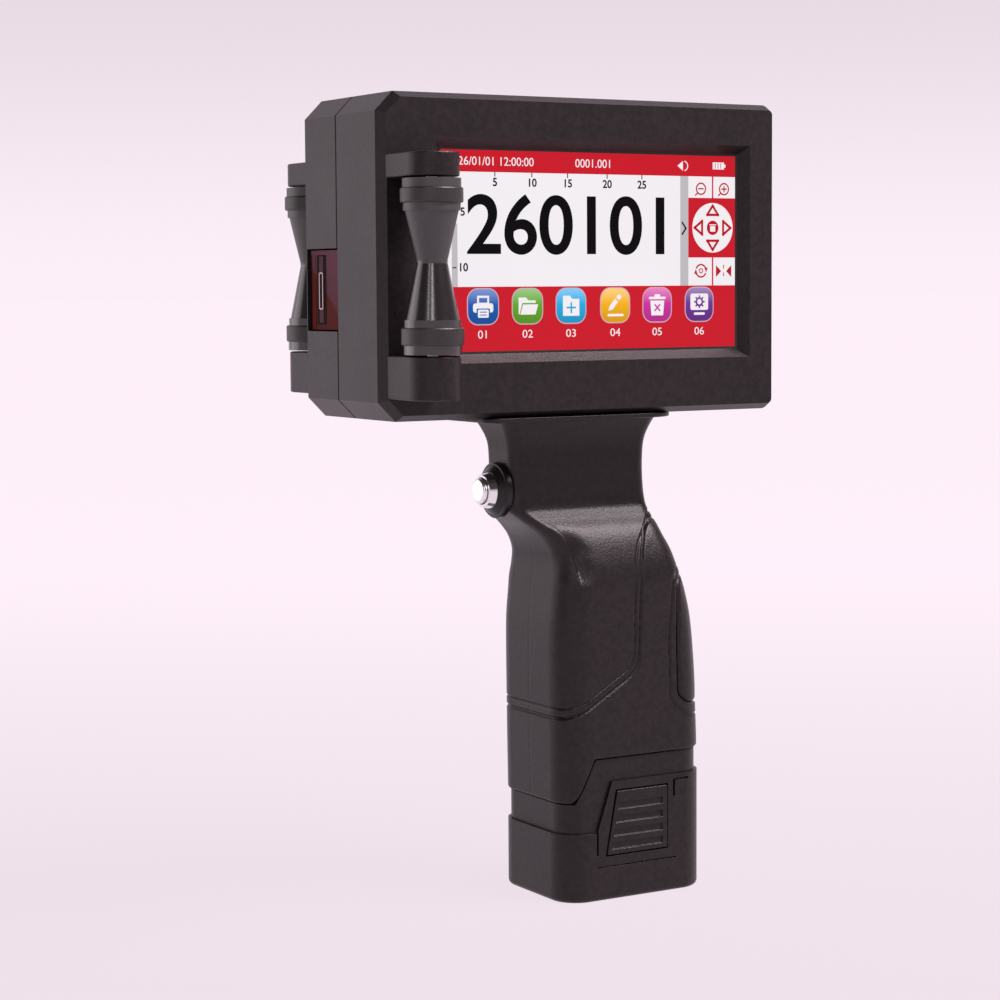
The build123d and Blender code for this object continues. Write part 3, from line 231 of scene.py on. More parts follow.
def flex_material():
    """Magenta-brown print plate film with a redder lower corner and faint traces."""
    material = new_material("flex_circuit", (0.07, 0.024, 0.032), 0.5, Specular_IOR_Level=0.04)
    tree = material.node_tree
    coords = tree.nodes.new("ShaderNodeTexCoord")
    parts = tree.nodes.new("ShaderNodeSeparateXYZ")
    mixed = tree.nodes.new("ShaderNodeMath")
    mixed.operation = "MULTIPLY_ADD"
    mixed.inputs[1].default_value = -FILM_SLOPE
    tree.links.new(coords.outputs["Object"], parts.inputs["Vector"])
    tree.links.new(parts.outputs["Y"], mixed.inputs[0])
    tree.links.new(parts.outputs["Z"], mixed.inputs[2])
    middle = (low("cartridge_flex") + high("cartridge_flex")) / 2
    level = middle.z - FILM_SLOPE * middle.y
    across = tree.nodes.new("ShaderNodeMapRange")
    across.inputs["From Min"].default_value = (level - FILM_SPREAD) * MM
    across.inputs["From Max"].default_value = (level + FILM_SPREAD) * MM
    tree.links.new(mixed.outputs["Value"], across.inputs["Value"])
    red_corner = (0.085, 0.007, 0.004)
    magenta = (0.100, 0.030, 0.044)
    pale_magenta = (0.120, 0.042, 0.062)
    tint = ramp(tree, across.outputs["Result"],
                [(0.44, red_corner), (0.52, magenta), (1.0, pale_magenta)])
    tree.links.new(tint.outputs["Color"], tree.nodes["Principled BSDF"].inputs["Base Color"])
    traces = noise(tree, 260.0, stretch=(1.0, 6.0, 0.4))
    add_bump(tree, traces.outputs["Fac"], 0.08, 0.0001)
    return material


slot_materials["flex_circuit"] = flex_material()
node_slot = {entry["node"]: entry["material_slot"] for entry in record["subparts"]}
for name, node in nodes.items():
    node.data.materials.clear()
    node.data.materials.append(slot_materials[node_slot[name]])
# the tower's band shows between the handle and the case, moulded like them
nodes["battery_tower"].data.materials[0] = housing


# ---- softened edges on the moulded CAD parts -------------
def soften(name, width):
    """Round the sharp edges of a CAD node with modifiers, leaving its mesh alone."""
    node = nodes[name]
    weld = node.modifiers.new("weld", "WELD")
    weld.merge_threshold = 0.002 * MM
    flat = node.modifiers.new("flat_faces", "DECIMATE")
    flat.decimate_type = "DISSOLVE"
    flat.angle_limit = math.radians(0.4)
    bevel = node.modifiers.new("soft_edges", "BEVEL")
    bevel.width = width * MM
    bevel.segments = 2
    bevel.limit_method = "ANGLE"
    bevel.angle_limit = math.radians(25)
    bevel.use_clamp_overlap = True
    weighted = node.modifiers.new("weighted", "WEIGHTED_NORMAL")
    weighted.keep_sharp = False
    weighted.weight = 100


soft_edges = {
    0.45: ("front_shell", "rear_shell"),
    0.3: ("battery_case", "cartridge_door", "battery_tower"),
    0.25: ("release_button_front", "release_button_rear", "front_upper_bracket",
           "front_lower_bracket", "rear_upper_bracket", "rear_lower_bracket"),
}
for edge_width, names in soft_edges.items():
    for name in names:
        soften(name, edge_width)


# ---- making pieces ---------------------------------------
def make_piece(name, points, faces, material, body, smooth=False):
    """A mesh piece from points in millimetres, riding on a CAD body."""
    mesh = bpy.data.meshes.new(name)
    mesh.from_pydata([tuple(c * MM for c in point) for point in points], [], faces)
    mesh.materials.append(material)
    mesh.update()
    if smooth:
        mesh.polygons.foreach_set("use_smooth", [True] * len(mesh.polygons))
    piece = bpy.data.objects.new(name, mesh)
    scene.collection.objects.link(piece)
    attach(piece, body)
    return piece


def bevelled(piece, width):
    """Round a piece's sharp edges with modifiers."""
    bevel = piece.modifiers.new("bevel", "BEVEL")
    bevel.width = width * MM
    bevel.segments = 2
    bevel.limit_method = "ANGLE"
    bevel.angle_limit = math.radians(30)
    weighted = piece.modifiers.new("weighted", "WEIGHTED_NORMAL")
    weighted.weight = 100
    piece.data.polygons.foreach_set("use_smooth", [True] * len(piece.data.polygons))


class Plates:
    """Flat closed plates gathered by colour, each standing off a face on its own level."""

    def __init__(self, place):
        self.place = place
        self.points = []
        self.faces = []

    def add(self, outline, back, front):
        """One plate; its outline runs so that the front face looks away from the object."""
        count = len(outline)
        start = len(self.points)
        for depth in (back, front):
            self.points += [self.place(u, v, depth) for u, v in outline]
        self.faces.append([start + i for i in range(count)][::-1])
        self.faces.append([start + count + i for i in range(count)])
        for i in range(count):
            j = (i + 1) % count
            self.faces.append([start + i, start + j, start + count + j, start + count + i])

    def make(self, name, material, slot, body):
        return make_piece(name, self.points, self.faces, material, body)


# ---- grip ------------------------------------------------
# height, finger side x, palm side x, half depth, corner radius
GRIP = [
    (139.9, -20.5, 33.4, 11.6, 4.8),
    (136.0, -18.0, 31.4, 9.6, 4.0),
    (132.0, -16.4, 30.0, 8.3, 3.5),
    (127.0, -16.0, 29.5, 8.0, 3.5),
    (119.0, -16.0, 29.6, 8.1, 3.6),
    (113.0, -16.0, 30.2, 8.9, 4.0),
    (110.0, -13.2, 30.9, 10.8, 4.6),
    (107.0, -9.5, 31.9, 13.3, 5.4),
    (104.0, -6.7, 33.0, 15.1, 6.2),
    (100.0, -4.7, 34.9, 16.8, 7.0),
    (96.0, -4.5, 36.3, 18.1, 7.8),
    (92.0, -5.0, 37.7, 18.9, 8.3),
    (88.0, -5.4, 39.0, 19.0, 8.5),
    (80.0, -6.1, 40.9, 19.0, 8.5),
    (68.0, -6.2, 42.2, 19.0, 8.5),
    (56.0, -6.1, 42.9, 19.0, 8.5),
    (44.0, -6.0, 43.4, 19.0, 8.5),
    (28.5, -5.8, 43.6, 19.0, 8.5),
]
STATION_SAMPLES = 1200
HANDLE_LOW, HANDLE_HIGH = 29.0, 41.5     # lower edge at the finger side and at the palm
STEP_X, STEP_RUN = -1.8, 6.2             # where the lower edge starts to rise, and how far it runs
STEP_ROUNDING = 1.8
STRAIGHT_LEVEL = 32.0                    # a height at which the grip's sides are upright
ROWS, PAD_ROWS = 330, 130
# parts of half a section: finger side, finger corner, flank, palm corner, palm side
COLUMNS = (22, 40, 90, 30, 18)
PAD_COLUMNS = 60
PAD_LOW, PAD_HIGH = 54.9, 93.2
UNDER_PAD = 1.3                          # how far the handle is sunk under the pad
TRIGGER_HOLE = 6.4
CORNER_STEPS = 6


def station(z):
    """Left, right, half depth and corner radius of the grip at a height, smoothly eased."""
    index = 0
    while index < len(GRIP) - 2 and z < GRIP[index + 1][0]:
        index += 1
    upper, lower = GRIP[index], GRIP[index + 1]
    before = GRIP[max(index - 1, 0)]
    after = GRIP[min(index + 2, len(GRIP) - 1)]
    span = upper[0] - lower[0]
    t = (z - lower[0]) / span
    values = []
    for k in range(1, 5):
        slope_low = (upper[k] - after[k]) / (upper[0] - after[0]) * span
        slope_high = (before[k] - lower[k]) / (before[0] - lower[0]) * span
        values.append((2 * t**3 - 3 * t**2 + 1) * lower[k] + (t**3 - 2 * t**2 + t) * slope_low
                      + (3 * t**2 - 2 * t**3) * upper[k] + (t**3 - t**2) * slope_high)
    return values


station_heights = np.linspace(GRIP[-1][0], GRIP[0][0], STATION_SAMPLES)
station_values = np.array([station(z) for z in station_heights])


def section(z):
    """Left, right, half depth and corner radius for an array of heights."""
    return [np.interp(z, station_heights, station_values[:, k]) for k in range(4)]


def skin(z, u):
    """Points and outward directions; u counts the five parts of a half section, 0 to 5."""
    left, right, half, radius = section(z)
    flat = half - radius
    finger_turn = math.pi / 2 * (u - 1)
    palm_turn = math.pi / 2 * (u - 3)
    parts = [u < 1, u < 2, u < 3, u < 4]
    x = np.select(parts, [left, left + radius * (1 - np.cos(finger_turn)),
                          left + radius + (right - left - 2 * radius) * (u - 2),
                          right - radius + radius * np.sin(palm_turn)], right)
    y = np.select(parts, [-flat * u, -flat - radius * np.sin(finger_turn), -half,
                          -flat - radius * np.cos(palm_turn)], -flat * (5 - u))
    out_x = np.select(parts, [-1.0, -np.cos(finger_turn), 0.0, np.sin(palm_turn)], 1.0)
    out_y = np.select(parts, [0.0, -np.sin(finger_turn), -1.0, -np.cos(palm_turn)], 0.0)
    round_corner = np.select(parts[:2], [-flat * (1 - u), radius * finger_turn],
                             radius * math.pi / 2 + x - left - radius)
    return x, y, out_x, out_y, round_corner


def part_of(z, x):
    """The value of u at which the flank or the palm corner reaches x."""
    left, right, _, radius = section(z)
    on_flank = 2 + (x - left - radius) / (right - left - 2 * radius)
    reach = np.clip((x - right + radius) / radius, 0, 1)
    return np.where(x < right - radius, on_flank, 3 + np.arcsin(reach) / (math.pi / 2))


def rounded(points, radius):
    """A path with its inner corners replaced by short curves."""
    path = [Vector(points[0])]
    for before, corner, after in zip(points, points[1:], points[2:]):
        corner = Vector(corner)
        back = Vector(before) - corner
        on = Vector(after) - corner
        reach = min(radius, back.length * 0.45, on.length * 0.45)
        start = corner + back.normalized() * reach
        end = corner + on.normalized() * reach
        for i in range(CORNER_STEPS + 1):
            t = i / CORNER_STEPS
            path.append(start * (1 - t) ** 2 + corner * (2 * t * (1 - t)) + end * t**2)
    path.append(Vector(points[-1]))
    return path


def distance_to(path, x, z):
    """Distance of many points to a path, on the flank."""
    best = np.full(x.shape, 1e9)
    for start, end in zip(path, path[1:]):
        along = end - start
        t = ((x - start.x) * along.x + (z - start.y) * along.y) / max(along.length_squared, 1e-9)
        t = np.clip(t, 0, 1)
        best = np.minimum(best, np.hypot(x - start.x - t * along.x, z - start.y - t * along.y))
    return best


# moulded lines on the flank, as x and height
finger_line_outer = rounded([(45, 114), (28.6, 110.6), (24.4, 106), (21.5, 99), (20.2, 90),
                             (19.4, 66.2), (-1.6, 53.6), (-30, 53.0)], 5.0)
finger_line_inner = rounded([(45, 111.4), (26.2, 108), (21.6, 103), (19.2, 97.4), (18.3, 90),
                             (17.8, 67.8), (-1.6, 56.4), (-30, 55.8)], 4.0)
palm_line_outer = rounded([(60, 96.5), (36, 95.6), (31.4, 92), (29.9, 75), (30.1, 56.2),
                           (37, 51.2), (60, 51.0)], 2.5)
palm_line_inner = rounded([(60, 93.8), (37.2, 93.4), (33.2, 90.4), (32.8, 73.6), (33.2, 57.4),
                           (37.4, 54.7), (60, 54.5)], 2.0)


def ease(value, start, end):
    """0 up to the start, 1 from the end on, and smooth between."""
    t = np.clip((value - start) / (end - start), 0, 1)
    return t * t * (3 - 2 * t)


def is_inside(path, x, z):
    """Whether points lie inside a closed outline on the flank."""
    inside = np.zeros(x.shape, dtype=bool)
    for start, end in zip(path, path[1:] + path[:1]):
        if start.y == end.y:
            continue
        crosses = (z < start.y) != (z < end.y)
        at = start.x + (z - start.y) * (end.x - start.x) / (end.y - start.y)
        inside ^= crosses & (x < at)
    return inside


def lower_edge(x):
    """Height of the handle's lower edge, with a rounded lower corner."""
    step = np.clip((x - STEP_X) / STEP_RUN, 0, 1)
    shifts = np.linspace(-STEP_ROUNDING, STEP_ROUNDING, 13)
    eased = np.mean([np.clip((x + shift - STEP_X) / STEP_RUN, 0, 1) for shift in shifts], axis=0)
    return HANDLE_LOW + (HANDLE_HIGH - HANDLE_LOW) * np.maximum(step, eased)


# line, half width, depth
moulded_lines = (
    (finger_line_outer, 0.55, 0.62),
    (finger_line_inner, 0.42, 0.42),
    (palm_line_outer, 0.45, 0.45),
    (palm_line_inner, 0.6, 0.8),
)
# distance of the crease from the front corner of the finger side, at heights
CREASE_HEIGHTS = [89, 94.9, 98.9, 103, 107.4, 111]
CREASE_PLACES = [11.4, 8.8, 7.6, 7.9, 9.0, 10.5]
CREASE_DEPTH = 1.6
LIP_WIDTH, CHEEK_WIDTH = 0.9, 4.2        # the crease is steep at the lip and fades on the cheek
SEAM_DEPTH, SEAM_HALF_WIDTH = 0.04, 0.3
EDGE_DEPTH, EDGE_HEIGHT = 0.3, 0.6


def moulded(x, y, z, round_corner, above):
    """How far the handle's surface lies inside its plain form."""
    depth = np.zeros(z.shape)
    for path, half_width, deep in moulded_lines:
        distance = distance_to(path, x, z)
        depth += deep * np.clip(1 - (distance / half_width) ** 2, 0, 1)
    # crease between the finger side's lip and the cheek of the shoulder
    beyond = round_corner - np.interp(z, CREASE_HEIGHTS, CREASE_PLACES)
    cheek = np.where(beyond > 0, np.exp(-(np.clip(beyond, 0, 50) / CHEEK_WIDTH) ** 2),
                     np.clip(1 + beyond / LIP_WIDTH, 0, 1) ** 2)
    depth += CREASE_DEPTH * cheek * ease(z, 90.0, 96.5) * (1 - ease(z, 101.0, 109.0))
    # fine seam between the halves, and a rounded lower edge
    depth += SEAM_DEPTH * np.clip(1 - np.abs(y) / SEAM_HALF_WIDTH, 0, 1)
    depth += EDGE_DEPTH * np.clip(1 - above / EDGE_HEIGHT, 0, 1) ** 2
    return depth


def quad_grid(rows, columns, flip):
    """Faces of a grid of points, row by row."""
    faces = []
    for i in range(rows - 1):
        for j in range(columns - 1):
            a = i * columns + j
            quad = (a, a + 1, a + columns + 1, a + columns)
            faces.append(quad[::-1] if flip else quad)
    return faces


def place_skin(name, points, thickness, side, replaced):
    """One half of a skin, with its wall inside it and a hole behind the trigger's flange."""
    places = points.copy()
    places[:, :, 1] *= side
    places = places.reshape(-1, 3)
    trigger = (low("trigger_bushing") + high("trigger_bushing")) / 2
    off_axis = np.hypot(places[:, 1], places[:, 2] - trigger.z)
    in_hole = (off_axis < TRIGGER_HOLE) & (places[:, 0] < 0)
    faces = [face for face in quad_grid(*points.shape[:2], side < 0)
             if not in_hole[list(face)].any()]
    # the skin keeps only the points that its faces use
    used = sorted({index for face in faces for index in face})
    renumber = {old: new for new, old in enumerate(used)}
    faces = [[renumber[index] for index in face] for face in faces]
    piece = make_piece(name, places[used].tolist(), faces, housing, "housing", smooth=True)
    wall = piece.modifiers.new("wall", "SOLIDIFY")
    wall.thickness = thickness * MM
    wall.offset = -1.0
    corners = piece.modifiers.new("corners", "EDGE_SPLIT")
    corners.split_angle = math.radians(55)
    corners.use_edge_sharp = False
    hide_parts(replaced)


def handle_surface():
    """The handle's front half from its stepped lower edge up to the flange."""
    u = [part + np.arange(count) / count for part, count in enumerate(COLUMNS)]
    u = np.concatenate(u + [[len(COLUMNS)]])
    edge = lower_edge(skin(np.full(u.shape, STRAIGHT_LEVEL), u)[0])
    share = np.linspace(0, 1, ROWS)[:, None]
    z = edge[None, :] + (GRIP[0][0] - edge[None, :]) * share
    x, y, out_x, out_y, round_corner = skin(z, np.broadcast_to(u, z.shape))
    depth = moulded(x, y, z, round_corner, z - edge[None, :])
    sunk = ease(distance_to(palm_line_inner, x, z), 0.05, 0.6) * is_inside(palm_line_inner, x, z)
    depth += UNDER_PAD * sunk
    return np.stack((x - out_x * depth, y - out_y * depth, z), axis=2)


PAD_GAP = 0.12                           # between the pad and the line round it
PAD_EDGE_DEPTH, PAD_EDGE_WIDTH = 0.75, 1.4
PAD_RISE = 0.12
PAD_SEAM_DEPTH, PAD_SEAM_HALF_WIDTH = 0.09, 0.4


def pad_surface():
    """The palm pad: a low cushion that fills the outline of the inner palm line."""
    heights = np.linspace(PAD_LOW, PAD_HIGH, PAD_ROWS)
    starts = []
    for z in heights:
        across = np.linspace(30.0, 59.0, 1500)
        inside = is_inside(palm_line_inner, across, np.full(across.shape, z))
        starts.append(across[np.argmax(inside)])
    first = part_of(heights, np.array(starts) + PAD_GAP)[:, None]
    z = np.repeat(heights[:, None], PAD_COLUMNS, axis=1)
    share = np.linspace(0, 1, PAD_COLUMNS)[None, :] ** 1.25
    x, y, out_x, out_y, _ = skin(z, first + (len(COLUMNS) - first) * share)
    edge = distance_to(palm_line_inner, x, z)
    depth = PAD_EDGE_DEPTH * np.clip(1 - edge / PAD_EDGE_WIDTH, 0, 1) ** 2
    depth -= PAD_RISE * ease(edge, 0.8, 5.0)
    depth += PAD_SEAM_DEPTH * np.clip(1 - np.abs(y) / PAD_SEAM_HALF_WIDTH, 0, 1)
    return np.stack((x - out_x * depth, y - out_y * depth, z), axis=2)


HANDLE_WALL, PAD_WALL = 2.0, 1.1


def make_grip():
    """Front and rear skins of the handle and of the palm pad."""
    handle, pad = handle_surface(), pad_surface()
    for name, side in (("front", 1.0), ("rear", -1.0)):
        place_skin(f"handle_{name}_skin", handle, HANDLE_WALL, side,
                   f"handle_{name}_half")
        place_skin(f"palm_pad_{name}_skin", pad, PAD_WALL, side, "palm_pad")


def make_flange():
    """Plate between the grip and the head, in two halves."""
    left, right = low("handle_front_half").x, GRIP[0][2]
    half = -low("handle_front_half").y
    top = high("handle_front_half").z
    finger_corner, palm_corner, thickness, turns = 4.0, 12.0, 1.3, 12
    for side, sign in (("front", -1.0), ("rear", 1.0)):
        outline = [(left, 0.0)]
        for centre_x, corner, start in ((left + finger_corner, finger_corner, math.pi),
                                        (right - palm_corner, palm_corner, math.pi / 2)):
            for i in range(turns + 1):
                angle = start - math.pi / 2 * i / turns
                outline.append((centre_x + corner * math.cos(angle),
                                half - corner + corner * math.sin(angle)))
        outline.append((right, 0.0))
        plates = Plates(lambda u, v, depth: (u, sign * v, depth))
        ordered = outline[::-1] if sign > 0 else outline
        plates.add(ordered, top - thickness, top)
        piece = plates.make(f"neck_flange_{side}", housing, "housing_plastic", "housing")
        bevelled(piece, 0.3)


make_grip()
make_flange()


def make_spring(node, body):
    """A coil in the place of its CAD node, copied from the node's mesh and riding on a body."""
    piece = bpy.data.objects.new(f"{node}_coil", nodes[node].data.copy())
    scene.collection.objects.link(piece)
    piece.matrix_world = nodes[node].matrix_world.copy()
    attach(piece, body)
    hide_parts(node)
    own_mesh(piece)


make_spring("trigger_spring", "housing")
make_spring("latch_spring_front", "battery_pack")
make_spring("latch_spring_rear", "battery_pack")


# ---- screen picture --------------------------------------
SCREEN_LEFT, SCREEN_RIGHT = -45.3, 52.2
SCREEN_BOTTOM, SCREEN_TOP = 158.4, 213.0
WORK_TOP, WORK_BOTTOM = 207.1, 176.0
WORK_RIGHT, KEYS_LEFT = 33.0, 35.8
PAD_X, PAD_Z, PAD_RADIUS = 44.3, 192.5, 7.1
KEY_LEFT_X, KEY_RIGHT_X = 40.2, 48.3
ZOOM_Z, TURN_Z = 203.6, 180.2
BAR_Z = 210.0
ICON_Z, ICON_HALF = 170.6, 4.75
KEY_DIGITS_Z = 162.9
SMALL_DIGITS, BAR_DIGITS, CODE_DIGITS = 3.1, 3.3, 22.5
TICK = 0.15                   # half the width of a ruler's tick
LAYER, LAYER_GAP = 0.03, 0.01            # the picture's levels stand this far off each other
BASE_SHARE = 0.04             # how much of a lit colour shows in the light of the room
glass_face = low("screen_glass").y
picture = {}


def display_material(name, colour, glow=0.96):
    """Lit display colour under clear glass, with a faint unevenness of its backlight."""
    base = tuple(c * BASE_SHARE for c in colour)
    material = new_material(name, base, 0.25, Coat_Weight=0.12, Coat_Roughness=0.03,
                            Specular_IOR_Level=0.05)
    tree = material.node_tree
    shader = tree.nodes["Principled BSDF"]
    cloud = noise(tree, 22.0, detail=2.0)
    dimmed = tuple(c * 0.97 for c in colour)
    tint = ramp(tree, cloud.outputs["Fac"], [(0.3, dimmed), (0.7, colour)])
    tree.links.new(tint.outputs["Color"], shader.inputs["Emission Color"])
    shader.inputs["Emission Strength"].default_value = glow
    return material


def icon_material(name, colour):
    """Key colour that lightens towards the upper edge of the key."""
    material = display_material(name, colour)
    tree = material.node_tree
    coords = tree.nodes.new("ShaderNodeTexCoord")
    parts = tree.nodes.new("ShaderNodeSeparateXYZ")
    height = tree.nodes.new("ShaderNodeMapRange")
    height.inputs["From Min"].default_value = (ICON_Z - ICON_HALF) * MM
    height.inputs["From Max"].default_value = (ICON_Z + ICON_HALF) * MM
    tree.links.new(coords.outputs["Object"], parts.inputs["Vector"])
    tree.links.new(parts.outputs["Z"], height.inputs["Value"])
    deep = tuple(c * 0.75 for c in colour)
    pale = tuple(min(1.0, c + 0.22) for c in colour)
    tint = ramp(tree, height.outputs["Result"], [(0.1, deep), (0.55, colour), (1.0, pale)])
    tree.links.new(tint.outputs["Color"], tree.nodes["Principled BSDF"].inputs["Emission Color"])
    return material


def layer(colour):
    """The gathered plates of one display colour."""
    return picture.setdefault(colour, Plates(lambda x, z, depth: (x, glass_face - depth, z)))


def show(colour, outline, level):
    """A flat shape on the screen; its outline runs anticlockwise as the viewer sees it."""
    layer(colour).add(outline, LAYER * (level - 1) + LAYER_GAP, LAYER * level)


def rectangle(left, bottom, right, top):
    return [(left, bottom), (right, bottom), (right, top), (left, top)]


def moved(outline, x, z):
    return [(x + u, z + v) for u, v in outline]


def arc(x, z, radius, start, end, steps):
    """Points from one angle to another, in degrees."""
    turn = [math.radians(start + (end - start) * i / steps) for i in range(steps + 1)]
    return [(x + radius * math.cos(a), z + radius * math.sin(a)) for a in turn]


def disc(x, z, radius, steps=32):
    return arc(x, z, radius, 0, 360, steps)[:-1]


def rounded_box(left, bottom, right, top, radius):
    return (arc(right - radius, bottom + radius, radius, -90, 0, 6)
            + arc(right - radius, top - radius, radius, 0, 90, 6)
            + arc(left + radius, top - radius, radius, 90, 180, 6)
            + arc(left + radius, bottom + radius, radius, 180, 270, 6))


def ring(colour, x, z, radius, width, level, start=0, end=360, steps=28):
    """A circular line, as a row of short plates."""
    outer = arc(x, z, radius, start, end, steps)
    inner = arc(x, z, radius - width, start, end, steps)
    for a, b, c, d in zip(outer, outer[1:], inner[1:], inner):
        show(colour, [a, b, c, d], level)


def stroke(colour, start, end, width, level):
    """A straight line with square ends that reach past its points by half its width."""
    along = (Vector(end) - Vector(start)).normalized() * width / 2
    across = Vector((-along.y, along.x))
    first, last = Vector(start) - along, Vector(end) + along
    corners = (first + across, first - across, last - across, last + across)
    show(colour, [tuple(corner) for corner in corners], level)


def write_digits(name, text, place, size, ink, level, widen=1.0, bold=0.0):
    """Generic digits from Blender's own font, as thin raised solids centred on a place."""
    data = bpy.data.curves.new(name, "FONT")
    data.body = text
    data.size = size * MM
    data.align_x = "CENTER"
    data.align_y = "CENTER"
    data.extrude = LAYER / 2 * MM
    data.offset = bold * MM
    source = bpy.data.objects.new(name, data)
    mesh = bpy.data.meshes.new_from_object(source)
    bpy.data.objects.remove(source)
    x, z = place
    face = glass_face - LAYER * level
    stand = Matrix(((widen, 0, 0, x * MM), (0, 0, -1, face * MM), (0, 1, 0, z * MM), (0, 0, 0, 1)))
    mesh.transform(stand)
    mesh.materials.clear()
    mesh.materials.append(inks[ink])
    piece = bpy.data.objects.new(name, mesh)
    scene.collection.objects.link(piece)
    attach(piece, "housing")


def draw_background():
    """Red ground, the white work area with its scroll bars, and white fields for the keys."""
    show("red", rectangle(SCREEN_LEFT, SCREEN_BOTTOM, SCREEN_RIGHT, SCREEN_TOP), 1)
    show("white", rectangle(SCREEN_LEFT, WORK_BOTTOM, WORK_RIGHT, WORK_TOP), 2)
    show("grey", rectangle(WORK_RIGHT, WORK_BOTTOM, KEYS_LEFT, WORK_TOP), 2)
    show("grey", rectangle(SCREEN_LEFT + 3.2, WORK_BOTTOM, SCREEN_LEFT + 5.0, WORK_TOP - 14.0), 3)
    gap = 0.25
    for bottom, top in ((201.0, WORK_TOP), (WORK_BOTTOM, 184.0)):
        show("white", rectangle(KEYS_LEFT, bottom, PAD_X - gap, top), 2)
        show("white", rectangle(PAD_X + gap, bottom, SCREEN_RIGHT, top), 2)
    show("white", disc(PAD_X, PAD_Z, PAD_RADIUS, 48), 2)
    upper, tip, lower = (33.7, 193.9), (34.9, 192.3), (33.7, 190.7)
    stroke("black", upper, tip, 0.5, 4)
    stroke("black", tip, lower, 0.5, 4)


def draw_rulers():
    """Ticks and digits along the top and the left of the work area."""
    for index, x in enumerate((-28.4, -16.6, -5.0, 8.1, 19.8)):
        show("black", rectangle(x - TICK, WORK_TOP - 1.2, x + TICK, WORK_TOP), 3)
        write_digits(f"ruler_digits_{index}", str(5 * index + 5), (x, 204.3), SMALL_DIGITS,
                     "black", 4, bold=0.07)
    for index, z in enumerate((196.2, 181.2)):
        show("black", rectangle(SCREEN_LEFT + 3.4, z - TICK, SCREEN_LEFT + 4.6, z + TICK), 4)
        write_digits(f"side_digits_{index}", str(5 * index + 5), (-38.6, z), SMALL_DIGITS,
                     "black", 4, bold=0.07)


def draw_zoom_keys():
    """Two magnifying glasses, with a minus and a plus."""
    z = ZOOM_Z
    for x, plus in ((KEY_LEFT_X, False), (KEY_RIGHT_X, True)):
        ring("ink_red", x, z, 1.8, 0.42, 3)
        stroke("ink_red", (x - 0.75, z), (x + 0.75, z), 0.4, 3)
        stroke("ink_red", (x - 1.3, z - 1.3), (x - 1.9, z - 1.8), 0.4, 3)
        if plus:
            stroke("ink_red", (x, z - 0.7), (x, z + 0.7), 0.4, 4)


def draw_pad():
    """Four arrows round a stop key."""
    for turn in range(4):
        angle = math.pi / 2 * turn
        out = Vector((math.cos(angle), math.sin(angle)))
        side = Vector((-out.y, out.x)) * 1.9
        centre = Vector((PAD_X, PAD_Z)) + out * 4.7
        tip, left, right = centre + out * 1.6, centre - out + side, centre - out - side
        for start, end in ((tip, left), (left, right), (right, tip)):
            stroke("ink_red", start, end, 0.7, 3)
    show("ink_red", disc(PAD_X, PAD_Z, 2.05), 3)
    show("white", rounded_box(PAD_X - 0.9, PAD_Z - 1.1, PAD_X + 0.9, PAD_Z + 0.5, 0.25), 4)
    show("white", rectangle(PAD_X - 1.15, PAD_Z + 0.7, PAD_X + 1.15, PAD_Z + 1.0), 4)


def draw_turn_key():
    """Two arrows that chase each other round a dot."""
    x, z = KEY_LEFT_X, TURN_Z
    for start in (20, 200):
        ring("ink_red", x, z, 2.0, 0.45, 3, start, start + 140, 12)
    ring("ink_red", x, z, 0.75, 0.3, 3, steps=12)
    head = [(2.4, 0.9), (1.2, 0.9), (1.8, -0.5)]
    for sign in (-1, 1):
        show("ink_red", moved([(sign * u, sign * v) for u, v in head], x, z), 3)


def draw_mirror_key():
    """Two triangles that point at each other across a broken line."""
    x, z = KEY_RIGHT_X - 0.1, TURN_Z - 0.1
    triangle = [(0.9, 0.0), (2.7, -1.7), (2.7, 1.7)]
    for sign in (-1, 1):
        show("ink_red", moved([(sign * u, v) for u, v in triangle[::sign]], x, z), 3)
    for bottom in (z - 1.5, z + 0.7):
        show("ink_red", rectangle(x - TICK, bottom, x + TICK, bottom + 1.1), 3)


def draw_top_bar():
    """Clock and job digits, a loudspeaker and a battery."""
    write_digits("clock_digits", "26/01/01 12:00:00", (-27.9, BAR_Z - 0.1), BAR_DIGITS, "white", 3)
    write_digits("job_digits", "0001.001", (3.6, BAR_Z - 0.1), BAR_DIGITS, "white", 3)
    show("white", moved([(0.0, 0.0), (1.9, -1.4), (1.9, 1.4)], 32.0, BAR_Z), 3)
    ring("white", 34.2, BAR_Z, 1.5, 0.3, 3, -80, 80, 12)
    x, z = 44.3, BAR_Z + 0.2
    show("white", rectangle(x, z - 1.0, x + 4.0, z + 1.0), 3)
    show("white", rectangle(x + 4.0, z - 0.4, x + 4.5, z + 0.4), 3)
    for k in range(3):
        bar = x + 0.8 + 0.95 * k
        show("red", rectangle(bar, z - 0.8, bar + 0.2, z + 0.8), 4)


def draw_printer(x, z):
    show("white", rounded_box(x - 3.2, z - 1.6, x + 3.2, z + 0.9, 0.7), 4)
    show("white", rectangle(x - 1.9, z + 0.8, x + 1.9, z + 3.0), 4)
    show("blue", rectangle(x - 1.3, z + 1.1, x + 1.3, z + 2.4), 5)
    show("blue", rounded_box(x - 2.1, z - 2.9, x + 2.1, z - 0.5, 0.3), 5)
    show("white", rounded_box(x - 1.7, z - 3.0, x + 1.7, z - 0.8, 0.3), 6)
    for bottom in (z - 1.6, z - 2.4):
        show("blue", rectangle(x - 1.1, bottom, x + 1.1, bottom + 0.25), 7)


